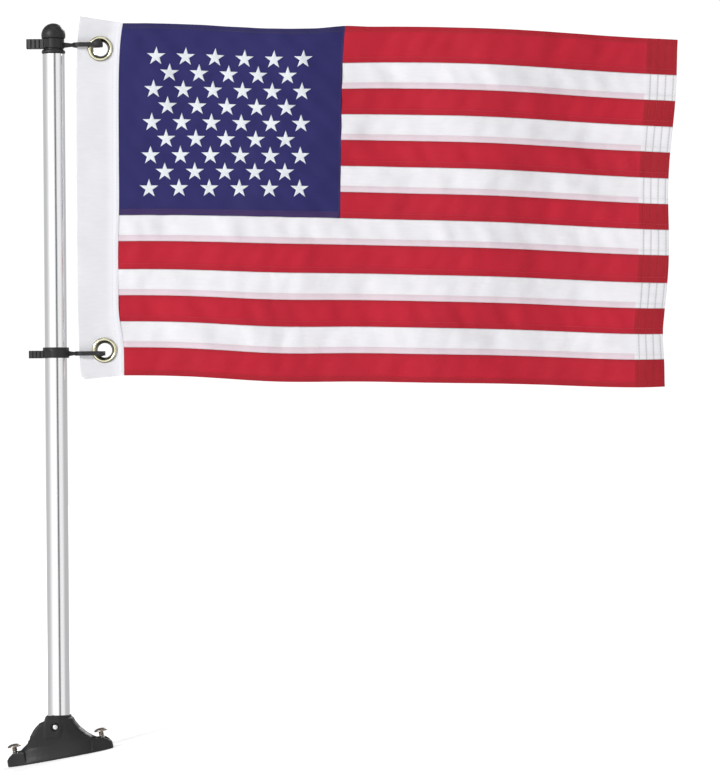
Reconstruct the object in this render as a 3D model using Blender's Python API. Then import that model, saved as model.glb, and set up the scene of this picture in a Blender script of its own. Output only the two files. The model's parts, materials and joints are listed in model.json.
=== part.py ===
"""A raked deck flagpole that folds down, with a small sewn flag, as separate pieces.

Metres, +Z up. The origin is the middle of the base's underside, on the deck plane z = 0.
The pole leans towards +X, where the flag flies, and folds down towards -X.
Pole pieces are drawn in the pole's own frame: origin on the tube's axis, level with the
pivot pin, z up the pole, x towards the flag. An empty holds that frame at the rake angle.
"""

import math

import bmesh
import bpy
from mathutils import Matrix, Vector

MM = 0.001
GAP = 0.3 * MM  # running clearance between neighbouring pieces
ROUND_STEPS = 48  # sides of a turned piece

# Base
FOOT_HALF_LENGTH = 46.5 * MM
FOOT_HALF_WIDTH = 15.6 * MM
FOOT_POWER = 2.4  # 2 would be an ellipse in plan
PAD_START = 29.3 * MM
SCREW_SPACING = 76.2 * MM
SPOTFACE_HEIGHT = 8.0 * MM
SPOTFACE_RADIUS = 6.4 * MM
RAKE = math.radians(10)
PIN_X = 1.0 * MM
PIN_Z = 27.3 * MM
AXIS_OFFSET = 2.3 * MM  # from the pin to the tube's axis, towards the flag
PIN_RADIUS = 2.4 * MM
PIN_HALF_LENGTH = 11.7 * MM
PIN_RECESS_DEPTH = 0.7 * MM
PIN_RECESS_RADIUS = 3.6 * MM

# Pole
TUBE_RADIUS = 9.525 * MM
TUBE_WALL = 1.2 * MM
TUBE_BOTTOM = -6.0 * MM
TUBE_TOP = 582.0 * MM
PLUG_BOTTOM = -8.0 * MM
PLUG_TOP = 14.0 * MM

# Top cap, heights along the pole
BALL_RADIUS = 10.3 * MM
BALL_CENTRE = 598.0 * MM
NECK_RADIUS = 7.5 * MM
NECK_BOTTOM = 586.3 * MM
NECK_TOP = 595.2 * MM
FLANGE_RADIUS = 10.2 * MM
SPIGOT_LENGTH = 20.0 * MM

# Clips, heights along the pole
UPPER_RING = (586.6 * MM, 594.9 * MM)
LOWER_RING = (318.7 * MM, 325.3 * MM)
LOWER_LIP_TOP = 327.8 * MM
RING_WALL = 1.6 * MM
UPPER_HOOK_HEIGHT = 589.5 * MM
LOWER_HOOK_HEIGHT = 322.4 * MM
STRAP_HEIGHT = 3.8 * MM
STRAP_THICKNESS = 2.0 * MM
LOOP_START = 16.5 * MM
LOOP_END = 42.9 * MM
LOOP_HALF_WIDTH = 6.4 * MM
KNUCKLE_HALF_LENGTH = 4.4 * MM
KNUCKLE_HALF_DEPTH = 1.9 * MM
KNUCKLE_X = 38.6 * MM
KNUCKLE_Y = -5.0 * MM
JAW_END = 23.2 * MM
JAW_HALF_WIDTH = 4.0 * MM
JAW_TEETH = 4
TOOTH_DEPTH = 0.8 * MM

# Flag, in the pole's frame
FLAG_TOP = 608.2 * MM
FLAG_HEIGHT = 304.0 * MM
FLAG_LENGTH = 480.0 * MM  # from the header's seam to the fly
FIRST_STRIPE = 30.9 * MM
STRIPE_WIDTH = 22.55 * MM
STRIPE_COUNT = 13
CANTON_STRIPES = 7
CANTON_LENGTH = 195.3 * MM
CANTON_STEPS = 6
FLY_STEPS = 9
SEAM_X = 55.4 * MM
HOIST_X = 19.2 * MM
CORNER_PULL = 22.0 * MM  # how far a corner's outward pull reaches along the hoist
FLY_DROP = 18.4 * MM
CLOTH_THICKNESS = 0.9 * MM
HEADER_THICKNESS = 1.6 * MM
HEADER_RISE = 6.2 * MM
WAVE_HEIGHT = 4.5 * MM
WAVE_LENGTH = 190.0 * MM

# Grommets
UPPER_GROMMET = Vector((40.6, 0, 586.1)) * MM
LOWER_GROMMET = Vector((42.2, 0, 325.0)) * MM
GROMMET_RADIUS = 10.95 * MM
GROMMET_HOLE = 6.2 * MM
BARREL_RADIUS = 6.9 * MM
FLANGE_THICKNESS = 1.3 * MM
WASHER_THICKNESS = 0.7 * MM

# Mounting screws
SCREW_HEAD_RADIUS = 5.8 * MM
SCREW_HEAD_HEIGHT = 2.8 * MM
SCREW_SHANK_RADIUS = 2.41 * MM
SCREW_SHANK_LENGTH = 15.8 * MM
SCREW_TIP_REST = 0.3 * MM  # the tip's height over the deck before the screw is driven
RECESS_DEPTH = 1.6 * MM
RECESS_REACH = 2.6 * MM
RECESS_WIDTH = 1.1 * MM


def clear_scene():
    for obj in list(bpy.data.objects):
        bpy.data.objects.remove(obj, do_unlink=True)


def material(name, colour, roughness, metallic=0.0):
    mat = bpy.data.materials.new(name)
    mat.use_nodes = True
    shader = mat.node_tree.nodes["Principled BSDF"]
    shader.inputs["Base Color"].default_value = (*colour, 1)
    shader.inputs["Roughness"].default_value = roughness
    shader.inputs["Metallic"].default_value = metallic
    return mat


def black_nylon(name):
    return material(name, (0.028, 0.028, 0.030), 0.55)


def white_cloth(name):
    return material(name, (0.80, 0.80, 0.83), 0.85)


def add_piece(name, bm, mat, parent=None):
    """Turn a bmesh into an object named for its piece, with outward faces."""
    bmesh.ops.recalc_face_normals(bm, faces=bm.faces)
    mesh = bpy.data.meshes.new(name)
    bm.to_mesh(mesh)
    bm.free()
    mesh.shade_smooth()
    mesh.set_sharp_from_angle(angle=math.radians(32))
    mesh.materials.append(mat)
    obj = bpy.data.objects.new(name, mesh)
    bpy.context.scene.collection.objects.link(obj)
    obj.parent = parent
    return obj


def add_tool(name, bm, parent=None):
    """A cutter or a shape to be joined: drawn as wire, and no piece of its own."""
    tool = add_piece(name, bm, material(name, (0.5, 0.5, 0.5), 0.5), parent)
    tool.hide_render = True
    tool.display_type = "WIRE"
    return tool


def boolean(obj, tool, operation):
    modifier = obj.modifiers.new(tool.name, "BOOLEAN")
    modifier.operation = operation
    modifier.solver = "EXACT"
    modifier.object = tool


def loft(loops):
    """A closed solid through loops of equal length, capped at both ends."""
    bm = bmesh.new()
    rings = [[bm.verts.new(point) for point in loop] for loop in loops]
    count = len(rings[0])
    for lower, upper in zip(rings, rings[1:]):
        for i in range(count):
            j = (i + 1) % count
            bm.faces.new((lower[i], lower[j], upper[j], upper[i]))
    bm.faces.new(list(reversed(rings[0])))
    bm.faces.new(rings[-1])
    return bm


def turned(profile, steps=ROUND_STEPS):
    """A solid turned about z from a closed (radius, height) profile. Radius 0 lies on the axis."""
    bm = bmesh.new()
    rings = []
    for radius, height in profile:
        if radius == 0:
            rings.append([bm.verts.new((0, 0, height))] * steps)
            continue
        angles = [2 * math.pi * i / steps for i in range(steps)]
        rings.append([bm.verts.new((radius * math.cos(a), radius * math.sin(a), height)) for a in angles])
    for inner, outer in zip(rings, rings[1:] + rings[:1]):
        for i in range(steps):
            j = (i + 1) % steps
            corners = list(dict.fromkeys((inner[i], inner[j], outer[j], outer[i])))
            if len(corners) > 2:
                bm.faces.new(corners)
    return bm


def prism(outline, low, high):
    """An (x, y) outline raised from z = low to z = high."""
    return loft([[(x, y, z) for x, y in outline] for z in (low, high)])


def side_prism(outline, half_width):
    """An (x, z) outline stretched across y."""
    return loft([[(x, y, z) for x, z in outline] for y in (-half_width, half_width)])


def ring_prism(outer, inner, low, high):
    """A closed band between two (x, y) outlines of equal length."""
    bm = bmesh.new()
    loops = [(outer, low), (outer, high), (inner, high), (inner, low)]
    rings = [[bm.verts.new((x, y, z)) for x, y in outline] for outline, z in loops]
    count = len(outer)
    for one, other in zip(rings, rings[1:] + rings[:1]):
        for i in range(count):
            j = (i + 1) % count
            bm.faces.new((one[i], one[j], other[j], other[i]))
    return bm


def arc(centre, radius, start, end, steps):
    """Points on a circle from angle start to angle end, in degrees."""
    angles = [math.radians(start + (end - start) * i / steps) for i in range(steps + 1)]
    return [(centre[0] + radius * math.cos(a), centre[1] + radius * math.sin(a)) for a in angles]


def racetrack(start, end, half_width, steps=12):
    """A long oval in x, y with round ends."""
    left = arc((start + half_width, 0), half_width, 90, 270, steps)
    right = arc((end - half_width, 0), half_width, -90, 90, steps)
    return left + right


def squircle(left, right, half_width, left_power, right_power, height, count=48):
    """A superellipse loop between x = left and x = right, squarer where its power is higher."""
    middle = (left + right) / 2
    half = (right - left) / 2
    points = []
    for i in range(count):
        angle = 2 * math.pi * i / count
        c, s = math.cos(angle), math.sin(angle)
        power = right_power if c > 0 else left_power
        x = middle + half * math.copysign(abs(c) ** (2 / power), c)
        y = half_width * math.copysign(abs(s) ** (2 / power), s)
        points.append((x, y, height))
    return points


def pad_loop(side, reach, half_width, height, steps=12):
    """The foot's outline beyond PAD_START, cut off square at x = reach."""
    edge = []
    for i in range(steps + 1):
        x = PAD_START + (reach - PAD_START) * math.sin(math.pi / 2 * i / steps)
        y = half_width * (1 - (x / FOOT_HALF_LENGTH) ** FOOT_POWER) ** (1 / FOOT_POWER)
        edge.append((side * x, y, height))
    return edge + [(x, -y, z) for x, y, z in reversed(edge)]


def collar_loop(radius, reach, height):
    """A U in plan: round towards the flag, straight cheeks running back to x = -reach."""
    corner = 2 * MM
    outline = arc((0, 0), radius, -90, 90, 24)
    outline += arc((corner - reach, radius - corner), corner, 90, 180, 4)
    outline += arc((corner - reach, corner - radius), corner, 180, 270, 4)
    return [(x, y, height) for x, y in outline]


def pole_frame():
    """The pole's frame: beside the pin, on the tube's axis, turned about y by the rake."""
    frame = bpy.data.objects.new("pole_frame", None)
    offset = Matrix.Rotation(RAKE, 3, "Y") @ Vector((AXIS_OFFSET, 0, 0))
    frame.location = Vector((PIN_X, 0, PIN_Z)) + offset
    frame.rotation_euler = (0, RAKE, 0)
    bpy.context.scene.collection.objects.link(frame)
    return frame


def foot_levels():
    """The body as (height, left x, right x, half width, left and right roundness), in mm."""
    return [
        (0.0, -46.2, 46.2, 15.3, FOOT_POWER, FOOT_POWER),
        (0.5, -46.5, 46.5, 15.6, FOOT_POWER, FOOT_POWER),
        (1.2, -46.5, 46.5, 15.5, FOOT_POWER, FOOT_POWER),
        (2.6, -39.0, 39.0, 15.0, 3, 3),
        (5.5, -37.0, 37.0, 14.1, 3, 3),
        (8.5, -35.8, 35.8, 13.4, 3, 3),
        (11.3, -34.5, 34.8, 12.9, 3, 3),
        (13.2, -31.7, 31.5, 12.6, 3, 3),
        (17.3, -25.8, 26.4, 12.3, 5, 3),
        (22.9, -23.0, 21.4, 12.0, 8, 3.2),
        (28.7, -18.4, 17.9, 11.8, 8, 3.6),
        (31.6, -14.8, 16.9, 11.7, 8, 4),
        (32.5, -11.5, 16.5, 11.5, 8, 4),
    ]


def pad_levels():
    """A screw pad as (height, reach from the middle, half width of the foot's outline), in mm."""
    return [(0.8, 46.4, 15.4), (5.6, 46.1, 15.2), (8.5, 43.5, 15.0), (10.4, 40.9, 14.8), (11.2, 38.9, 14.4)]


def collar_levels():
    """The collar as (height along the pole, radius, reach of its cheeks), in mm."""
    return [
        (-14, 11.4, 11.4),
        (-9, 12.6, 12.6),
        (0, 12.5, 12.5),
        (4.6, 12.0, 12.2),
        (8.2, 11.3, 11.4),
        (10, 10.7, 10.8),
    ]


def slot_outline():
    """The space, seen from the side, in which the pole swings from raised to lying down."""
    wall = TUBE_RADIUS + AXIS_OFFSET
    swing_radius = math.hypot(wall, TUBE_BOTTOM) + GAP
    floor = PIN_Z - (TUBE_RADIUS - AXIS_OFFSET) - GAP
    floor_angle = -180 - math.degrees(math.asin((floor - PIN_Z) / swing_radius))
    wall_angle = math.degrees(math.acos((wall + GAP) / swing_radius) - RAKE)
    along = Vector((math.cos(RAKE), -math.sin(RAKE)))
    up = Vector((math.sin(RAKE), math.cos(RAKE)))
    pin = Vector((PIN_X, PIN_Z))
    outline = [(-2 * FOOT_HALF_LENGTH, floor)]
    outline += arc(pin, swing_radius, floor_angle, wall_angle, 24)
    outline += [tuple(pin + along * AXIS_OFFSET + up * height) for height in (6 * MM, 40 * MM)]
    return outline + [(-2 * FOOT_HALF_LENGTH, PIN_Z + 40 * MM)]


def pin_cutter_profile():
    """The pin's bore with a shallow recess at each end."""
    floor = PIN_HALF_LENGTH - PIN_RECESS_DEPTH
    end = FOOT_HALF_WIDTH
    bore = PIN_RADIUS + GAP
    half = [(bore, floor), (PIN_RECESS_RADIUS, floor), (PIN_RECESS_RADIUS, end), (0, end)]
    return [(r, -y) for r, y in reversed(half)] + half


def across(bm):
    """Turn a shape made about z so that it lies along y."""
    bmesh.ops.rotate(bm, verts=bm.verts, matrix=Matrix.Rotation(math.radians(90), 3, "X"))
    return bm


def make_base(frame):
    loops = []
    for height, left, right, half_width, left_power, right_power in foot_levels():
        loops.append(squircle(left * MM, right * MM, half_width * MM, left_power, right_power, height * MM))
    base = add_piece("base_body", loft(loops), black_nylon("base_nylon"))
    for side in (-1, 1):
        pad = loft([pad_loop(side, reach * MM, width * MM, z * MM) for z, reach, width in pad_levels()])
        boolean(base, add_tool(f"pad_{side}", pad), "UNION")
    collar = loft([collar_loop(r * MM, reach * MM, z * MM) for z, r, reach in collar_levels()])
    boolean(base, add_tool("collar", collar, frame), "UNION")

    slot = side_prism(slot_outline(), TUBE_RADIUS + GAP)
    boolean(base, add_tool("slot", slot), "DIFFERENCE")
    socket_radius = TUBE_RADIUS + GAP
    socket_profile = [(0, 0), (socket_radius, 0), (socket_radius, 40 * MM), (0, 40 * MM)]
    boolean(base, add_tool("socket", turned(socket_profile), frame), "DIFFERENCE")
    pin_hole = add_tool("pin_hole", across(turned(pin_cutter_profile())))
    pin_hole.location = (PIN_X, 0, PIN_Z)
    boolean(base, pin_hole, "DIFFERENCE")
    hole = SCREW_SHANK_RADIUS + GAP
    bottom, top = -5 * MM, 25 * MM
    profile = [(0, bottom), (hole, bottom), (hole, SPOTFACE_HEIGHT), (SPOTFACE_RADIUS, SPOTFACE_HEIGHT)]
    profile += [(SPOTFACE_RADIUS, top), (0, top)]
    for side in (-1, 1):
        cutter = add_tool(f"screw_hole_{side}", turned(profile))
        cutter.location.x = side * SCREW_SPACING / 2
        boolean(base, cutter, "DIFFERENCE")


def make_pin():
    end, shoulder = PIN_HALF_LENGTH, PIN_HALF_LENGTH - 0.6 * MM
    half = [(PIN_RADIUS, shoulder), (0.8 * PIN_RADIUS, end - 0.2 * MM), (0, end)]
    profile = [(r, -y) for r, y in reversed(half)] + half
    steel = material("pin_steel", (0.75, 0.75, 0.76), 0.2, 1)
    pin = add_piece("pivot_pin", across(turned(profile, 32)), steel)
    pin.location = (PIN_X, 0, PIN_Z)


def pin_bore(name, frame):
    radius, reach = PIN_RADIUS + GAP, FOOT_HALF_WIDTH
    profile = [(0, -reach), (radius, -reach), (radius, reach), (0, reach)]
    bore = add_tool(name, across(turned(profile, 32)), frame)
    bore.location.x = -AXIS_OFFSET
    return bore


def make_tube(frame):
    inner = TUBE_RADIUS - TUBE_WALL
    profile = [(inner, TUBE_BOTTOM), (TUBE_RADIUS, TUBE_BOTTOM), (TUBE_RADIUS, TUBE_TOP), (inner, TUBE_TOP)]
    aluminium = material("pole_aluminium", (0.78, 0.78, 0.79), 0.25, 1)
    tube = add_piece("pole_tube", turned(profile), aluminium, frame)
    boolean(tube, pin_bore("tube_bore", frame), "DIFFERENCE")


def make_foot_plug(frame):
    """A nylon plug in the tube's lower end. Its nose is round about the pin, so it turns in the socket."""
    radius = TUBE_RADIUS - TUBE_WALL - GAP
    profile = [(0, PLUG_BOTTOM), (radius, PLUG_BOTTOM), (radius, PLUG_TOP), (0, PLUG_TOP)]
    plug = add_piece("foot_plug", turned(profile), black_nylon("plug_nylon"), frame)
    nose_radius = math.hypot(radius + AXIS_OFFSET, TUBE_BOTTOM)
    nose = arc((-AXIS_OFFSET, 0), nose_radius, 180, 360, 24)
    nose += [(nose_radius, 2 * PLUG_TOP), (-2 * nose_radius, 2 * PLUG_TOP)]
    boolean(plug, add_tool("plug_nose", side_prism(nose, 2 * radius), frame), "INTERSECT")
    boolean(plug, pin_bore("plug_bore", frame), "DIFFERENCE")


def make_cap(frame):
    """Ball, neck, flange and a cored spigot that fits down the tube."""
    spigot = TUBE_RADIUS - TUBE_WALL - GAP
    seat = TUBE_TOP + GAP
    core = spigot - 2.2 * MM
    rim_angle = math.degrees(math.asin((NECK_TOP + 0.6 * MM - BALL_CENTRE) / BALL_RADIUS))
    profile = [(0, NECK_BOTTOM), (core, NECK_BOTTOM), (core, TUBE_TOP - SPIGOT_LENGTH)]
    profile += [(spigot, TUBE_TOP - SPIGOT_LENGTH), (spigot, seat), (FLANGE_RADIUS, seat)]
    profile += [(FLANGE_RADIUS, seat + 1.4 * MM), (FLANGE_RADIUS - 0.8 * MM, NECK_BOTTOM - 0.6 * MM)]
    profile += [(NECK_RADIUS + 1.2 * MM, NECK_BOTTOM), (NECK_RADIUS, NECK_BOTTOM)]
    profile += [(NECK_RADIUS, NECK_TOP), (NECK_RADIUS + 1.4 * MM, NECK_TOP)]
    ball = arc((0, BALL_CENTRE), BALL_RADIUS, rim_angle, 90, 12)[:-1]
    profile += ball + [(0, BALL_CENTRE + BALL_RADIUS)]
    add_piece("top_cap", turned(profile), black_nylon("cap_nylon"), frame)


def jaw_outline(start, end):
    """A block with saw teeth along both faces, running from x = -start to x = -end."""
    pitch = (end - start) / JAW_TEETH
    edge = []
    for i in range(JAW_TEETH):
        edge.append((-start - i * pitch, JAW_HALF_WIDTH))
        edge.append((-start - (i + 0.8) * pitch, JAW_HALF_WIDTH - TOOTH_DEPTH))
    edge.append((-end, JAW_HALF_WIDTH))
    return edge + [(x, -y) for x, y in reversed(edge)]


def pad_outline(ring_inner, ring_outer):
    """A flat thumb pad, seen along the pole, rooted in the ring's wall on its front."""
    root = (ring_inner + ring_outer) / 2
    left, right = -0.76 * ring_outer, -0.13 * ring_outer
    front = -0.96 * ring_outer
    start = -90 - math.degrees(math.asin(-right / root))
    end = -90 - math.degrees(math.asin(-left / root))
    return [(left, front), (right, front)] + arc((0, 0), root, start, end, 4)


def tapered_arm(start, end, hook_height):
    """The arm from the ring to the loop, which thins towards the loop."""
    loops = []
    for x, half_width, half_height in ((start, 2.2 * MM, 2.3 * MM), (end, 1.4 * MM, 1.3 * MM)):
        corners = ((-1, -1), (1, -1), (1, 1), (-1, 1))
        loops.append([(x, half_width * y, hook_height + half_height * z) for y, z in corners])
    return loft(loops)


def hook_loop(hook_height):
    """The closed strap loop, which goes through the grommet and comes back behind the header."""
    outer = racetrack(LOOP_START, LOOP_END, LOOP_HALF_WIDTH)
    inner_width = LOOP_HALF_WIDTH - STRAP_THICKNESS
    inner = racetrack(LOOP_START + STRAP_THICKNESS, LOOP_END - STRAP_THICKNESS, inner_width)
    return ring_prism(outer, inner, hook_height - STRAP_HEIGHT / 2, hook_height + STRAP_HEIGHT / 2)


def knuckle(hook_height, half_height):
    """The thickened bend of the hook, in front of the grommet's hole."""
    bm = bmesh.new()
    bmesh.ops.create_uvsphere(bm, u_segments=16, v_segments=10, radius=1)
    bmesh.ops.scale(bm, verts=bm.verts, vec=(KNUCKLE_HALF_LENGTH, KNUCKLE_HALF_DEPTH, half_height))
    centre = (KNUCKLE_X, KNUCKLE_Y, hook_height + half_height - STRAP_HEIGHT / 2 - MM)
    bmesh.ops.translate(bm, verts=bm.verts, vec=centre)
    return bm


def make_clip(name, frame, ring_inner, ring_span, hook_height, knuckle_half_height):
    """A split ring closed by toothed jaws, with a thumb pad and an arm to a closed hook loop."""
    ring_low, ring_high = ring_span
    ring_outer = ring_inner + RING_WALL
    root = ring_outer - 0.8 * MM
    outer = arc((0, 0), ring_outer, 0, 360, ROUND_STEPS)[:-1]
    inner = arc((0, 0), ring_inner, 0, 360, ROUND_STEPS)[:-1]
    clip = add_piece(name, ring_prism(outer, inner, ring_low, ring_high), black_nylon(name + "_nylon"), frame)
    additions = {
        "jaws": prism(jaw_outline(root, JAW_END), ring_low - 0.2 * MM, ring_high - 0.2 * MM),
        "pad": prism(pad_outline(ring_inner, ring_outer), ring_low + 0.4 * MM, ring_high - 0.4 * MM),
        "arm": tapered_arm(root, LOOP_START + 0.8 * MM, hook_height),
        "loop": hook_loop(hook_height),
        "knuckle": knuckle(hook_height, knuckle_half_height),
    }
    for part, shape in additions.items():
        boolean(clip, add_tool(f"{name}_{part}", shape, frame), "UNION")
    return clip


def make_clips(frame):
    make_clip("upper_clip", frame, NECK_RADIUS + GAP, UPPER_RING, UPPER_HOOK_HEIGHT, 3.7 * MM)
    ring_inner = TUBE_RADIUS + GAP
    lower = make_clip("lower_clip", frame, ring_inner, LOWER_RING, LOWER_HOOK_HEIGHT, 2.4 * MM)
    outer = arc((0, 0), ring_inner + RING_WALL - 0.1 * MM, 0, 360, ROUND_STEPS)[:-1]
    inner = arc((0, 0), ring_inner + 0.02 * MM, 0, 360, ROUND_STEPS)[:-1]
    lip = ring_prism(outer, inner, LOWER_RING[1] - 0.5 * MM, LOWER_LIP_TOP)
    boolean(lower, add_tool("lower_clip_lip", lip, frame), "UNION")


def seam_x(down):
    """The seam between header and flag, which the corners pull outwards."""
    return SEAM_X + 4.6 * MM * (math.exp(-down / CORNER_PULL) + math.exp((down - FLAG_HEIGHT) / CORNER_PULL))


def hoist_x(down):
    """The header's free edge, beside the pole."""
    top, bottom = math.exp(-down / CORNER_PULL), math.exp((down - FLAG_HEIGHT) / CORNER_PULL)
    return HOIST_X + 4.4 * MM * top + 3.0 * MM * bottom


def cloth_point(along, down):
    """A point of the flag: `along` from the seam to the fly, `down` from its top edge."""
    share = along / FLAG_LENGTH
    x = seam_x(down) + along * (1 - 0.03 * down / FLAG_HEIGHT)
    sag = 3.5 * MM * math.exp(-(((along - 140 * MM) / (70 * MM)) ** 2))
    z = FLAG_TOP - FLY_DROP * share**2.2 - sag - down
    phase = along / WAVE_LENGTH + 0.25 * down / FLAG_HEIGHT
    y = WAVE_HEIGHT * share**1.2 * math.sin(2 * math.pi * phase)
    return Vector((x, y, z))


def header_point(across_share, down_share):
    """A point of the header: 0 to 1 from the hoist edge to the seam, and from top to bottom."""
    down = down_share * FLAG_HEIGHT
    x = hoist_x(down) + across_share * (seam_x(down) - GAP - hoist_x(down))
    top = FLAG_TOP + HEADER_RISE * (1 - across_share)
    bottom = FLAG_TOP - FLAG_HEIGHT - 3.1 * MM * (1 - across_share)
    return Vector((x, 0, top + (bottom - top) * down_share))


def sheet(grid, thickness):
    """A closed sheet through a grid of points, thickened evenly across y."""
    offsets = (Vector((0, -thickness / 2, 0)), Vector((0, thickness / 2, 0)))
    bm = bmesh.new()
    sides = [[[bm.verts.new(point + offset) for point in row] for row in grid] for offset in offsets]
    rows, columns = len(grid), len(grid[0])
    for side in sides:
        for i in range(rows - 1):
            for j in range(columns - 1):
                bm.faces.new((side[i][j], side[i][j + 1], side[i + 1][j + 1], side[i + 1][j]))
    edge = [(0, j) for j in range(columns)] + [(i, columns - 1) for i in range(1, rows)]
    edge += [(rows - 1, j) for j in range(columns - 2, -1, -1)] + [(i, 0) for i in range(rows - 2, 0, -1)]
    front, back = sides
    for (i, j), (k, m) in zip(edge, edge[1:] + edge[:1]):
        bm.faces.new((front[i][j], front[k][m], back[k][m], back[i][j]))
    return bm


def inset_ends(values):
    """Draw the first and last value in by half a gap, to clear the neighbouring piece."""
    return [values[0] + GAP / 2] + values[1:-1] + [values[-1] - GAP / 2]


def spread(start, end, steps):
    return [start + (end - start) * i / steps for i in range(steps + 1)]


def stripe_edges():
    """How far down the flag each stripe begins, and the last one ends."""
    return [0] + [FIRST_STRIPE + i * STRIPE_WIDTH for i in range(STRIPE_COUNT - 1)] + [FLAG_HEIGHT]


def make_field(name, alongs, downs, mat, frame):
    grid = [[cloth_point(along, down) for along in inset_ends(alongs)] for down in inset_ends(downs)]
    add_piece(name, sheet(grid, CLOTH_THICKNESS), mat, frame)


def make_stripes(frame):
    red = material("red_nylon", (0.53, 0.022, 0.045), 0.7)
    white = white_cloth("white_nylon")
    edges = stripe_edges()
    short = spread(CANTON_LENGTH, FLAG_LENGTH, FLY_STEPS)
    full = spread(0, CANTON_LENGTH, CANTON_STEPS)[:-1] + short
    for i in range(STRIPE_COUNT):
        alongs = short if i < CANTON_STRIPES else full
        make_field(f"stripe_{i + 1:02d}", alongs, edges[i:i + 2], white if i % 2 else red, frame)


def make_canton(frame):
    navy = material("blue_nylon", (0.045, 0.038, 0.16), 0.75)
    alongs = spread(0, CANTON_LENGTH, CANTON_STEPS)
    make_field("canton", alongs, stripe_edges()[:CANTON_STRIPES + 1], navy, frame)


def make_header(frame):
    downs = [down / FLAG_HEIGHT for down in stripe_edges()]
    grid = [[header_point(share, down) for share in (0, 1)] for down in downs]
    header = add_piece("header", sheet(grid, HEADER_THICKNESS), white_cloth("header_canvas"), frame)
    radius, reach = BARREL_RADIUS + GAP, 5 * MM
    profile = [(0, -reach), (radius, -reach), (radius, reach), (0, reach)]
    for name, centre in (("upper", UPPER_GROMMET), ("lower", LOWER_GROMMET)):
        hole = add_tool(name + "_grommet_hole", across(turned(profile)), frame)
        hole.location = centre
        boolean(header, hole, "DIFFERENCE")


def make_grommet(name, centre, frame):
    """An eyelet whose barrel passes the header, and the washer that it is rolled over behind."""
    face = HEADER_THICKNESS / 2 + GAP
    front = face + FLANGE_THICKNESS
    washer_back = face + WASHER_THICKNESS
    lip = washer_back + GAP
    lip_radius = BARREL_RADIUS + 1.5 * MM
    profile = [(GROMMET_HOLE, front - 0.5 * MM), (GROMMET_HOLE + 0.6 * MM, front)]
    profile += [(GROMMET_RADIUS - 1.6 * MM, front), (GROMMET_RADIUS - 0.4 * MM, front - 0.5 * MM)]
    profile += [(GROMMET_RADIUS, face + 0.3 * MM), (GROMMET_RADIUS - 0.2 * MM, face), (BARREL_RADIUS, face)]
    profile += [(BARREL_RADIUS, -lip), (lip_radius, -lip), (lip_radius, -lip - 0.3 * MM)]
    profile += [(GROMMET_HOLE + 0.5 * MM, -lip - 0.5 * MM), (GROMMET_HOLE, -lip)]
    brass = material(name + "_brass", (0.80, 0.66, 0.36), 0.25, 1)
    eyelet = add_piece(name + "_eyelet", across(turned(profile)), brass, frame)
    eyelet.location = centre
    inner = BARREL_RADIUS + GAP
    profile = [(inner, -face), (GROMMET_RADIUS, -face), (GROMMET_RADIUS - 0.3 * MM, -washer_back)]
    profile += [(inner, -washer_back)]
    washer = add_piece(name + "_washer", across(turned(profile)), brass, frame)
    washer.location = centre


def make_screw(name, side):
    """A truss-head screw with a cross recess, started in its hole and not yet driven down."""
    seat = SCREW_SHANK_LENGTH
    tip = 0.8 * MM
    profile = [(0, 0), (SCREW_SHANK_RADIUS - tip, 0), (SCREW_SHANK_RADIUS, tip), (SCREW_SHANK_RADIUS, seat)]
    profile += [(SCREW_HEAD_RADIUS, seat), (SCREW_HEAD_RADIUS, seat + 0.4 * MM)]
    steps = 8
    for i in range(1, steps):
        angle = math.radians(90) * i / steps
        height = seat + 0.4 * MM + (SCREW_HEAD_HEIGHT - 0.4 * MM) * math.sin(angle)
        profile.append((SCREW_HEAD_RADIUS * math.cos(angle), height))
    profile.append((0, seat + SCREW_HEAD_HEIGHT))
    screw = add_piece(name, turned(profile, 32), material(name + "_steel", (0.42, 0.39, 0.36), 0.35, 1))
    screw.location = (side * SCREW_SPACING / 2, 0, SCREW_TIP_REST)
    low, high = seat + SCREW_HEAD_HEIGHT - RECESS_DEPTH, seat + SCREW_HEAD_HEIGHT + MM
    for turn in (0, 1):
        size = (RECESS_REACH, RECESS_WIDTH / 2) if turn else (RECESS_WIDTH / 2, RECESS_REACH)
        x, y = size
        slot = add_tool(f"{name}_slot_{turn}", prism([(-x, -y), (x, -y), (x, y), (-x, y)], low, high), screw)
        boolean(screw, slot, "DIFFERENCE")


def build():
    clear_scene()
    frame = pole_frame()
    make_base(frame)
    make_pin()
    make_tube(frame)
    make_foot_plug(frame)
    make_cap(frame)
    make_clips(frame)
    make_header(frame)
    make_canton(frame)
    make_stripes(frame)
    make_grommet("upper_grommet", UPPER_GROMMET, frame)
    make_grommet("lower_grommet", LOWER_GROMMET, frame)
    make_screw("mount_screw_left", -1)
    make_screw("mount_screw_right", 1)


build()
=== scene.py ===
"""The looks of a raked deck flagpole with a small sewn flag: cloth, stitching, nylon and metal.

Metres, +Z up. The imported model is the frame. Cloth pieces are drawn in the pole's own frame
(z up the pole, x towards the flag) and then moved into place with it.
A point of the flag is given by two lengths: `along` from the header's seam to the fly edge, and
`down` from the top edge. One draped sheet turns them into a place, so that stripes, folds, stars
and stitches all lie on the same surface.
"""

import json
import math

import bmesh
import bpy
import numpy as np
from mathutils import Matrix, Quaternion, Vector

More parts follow.
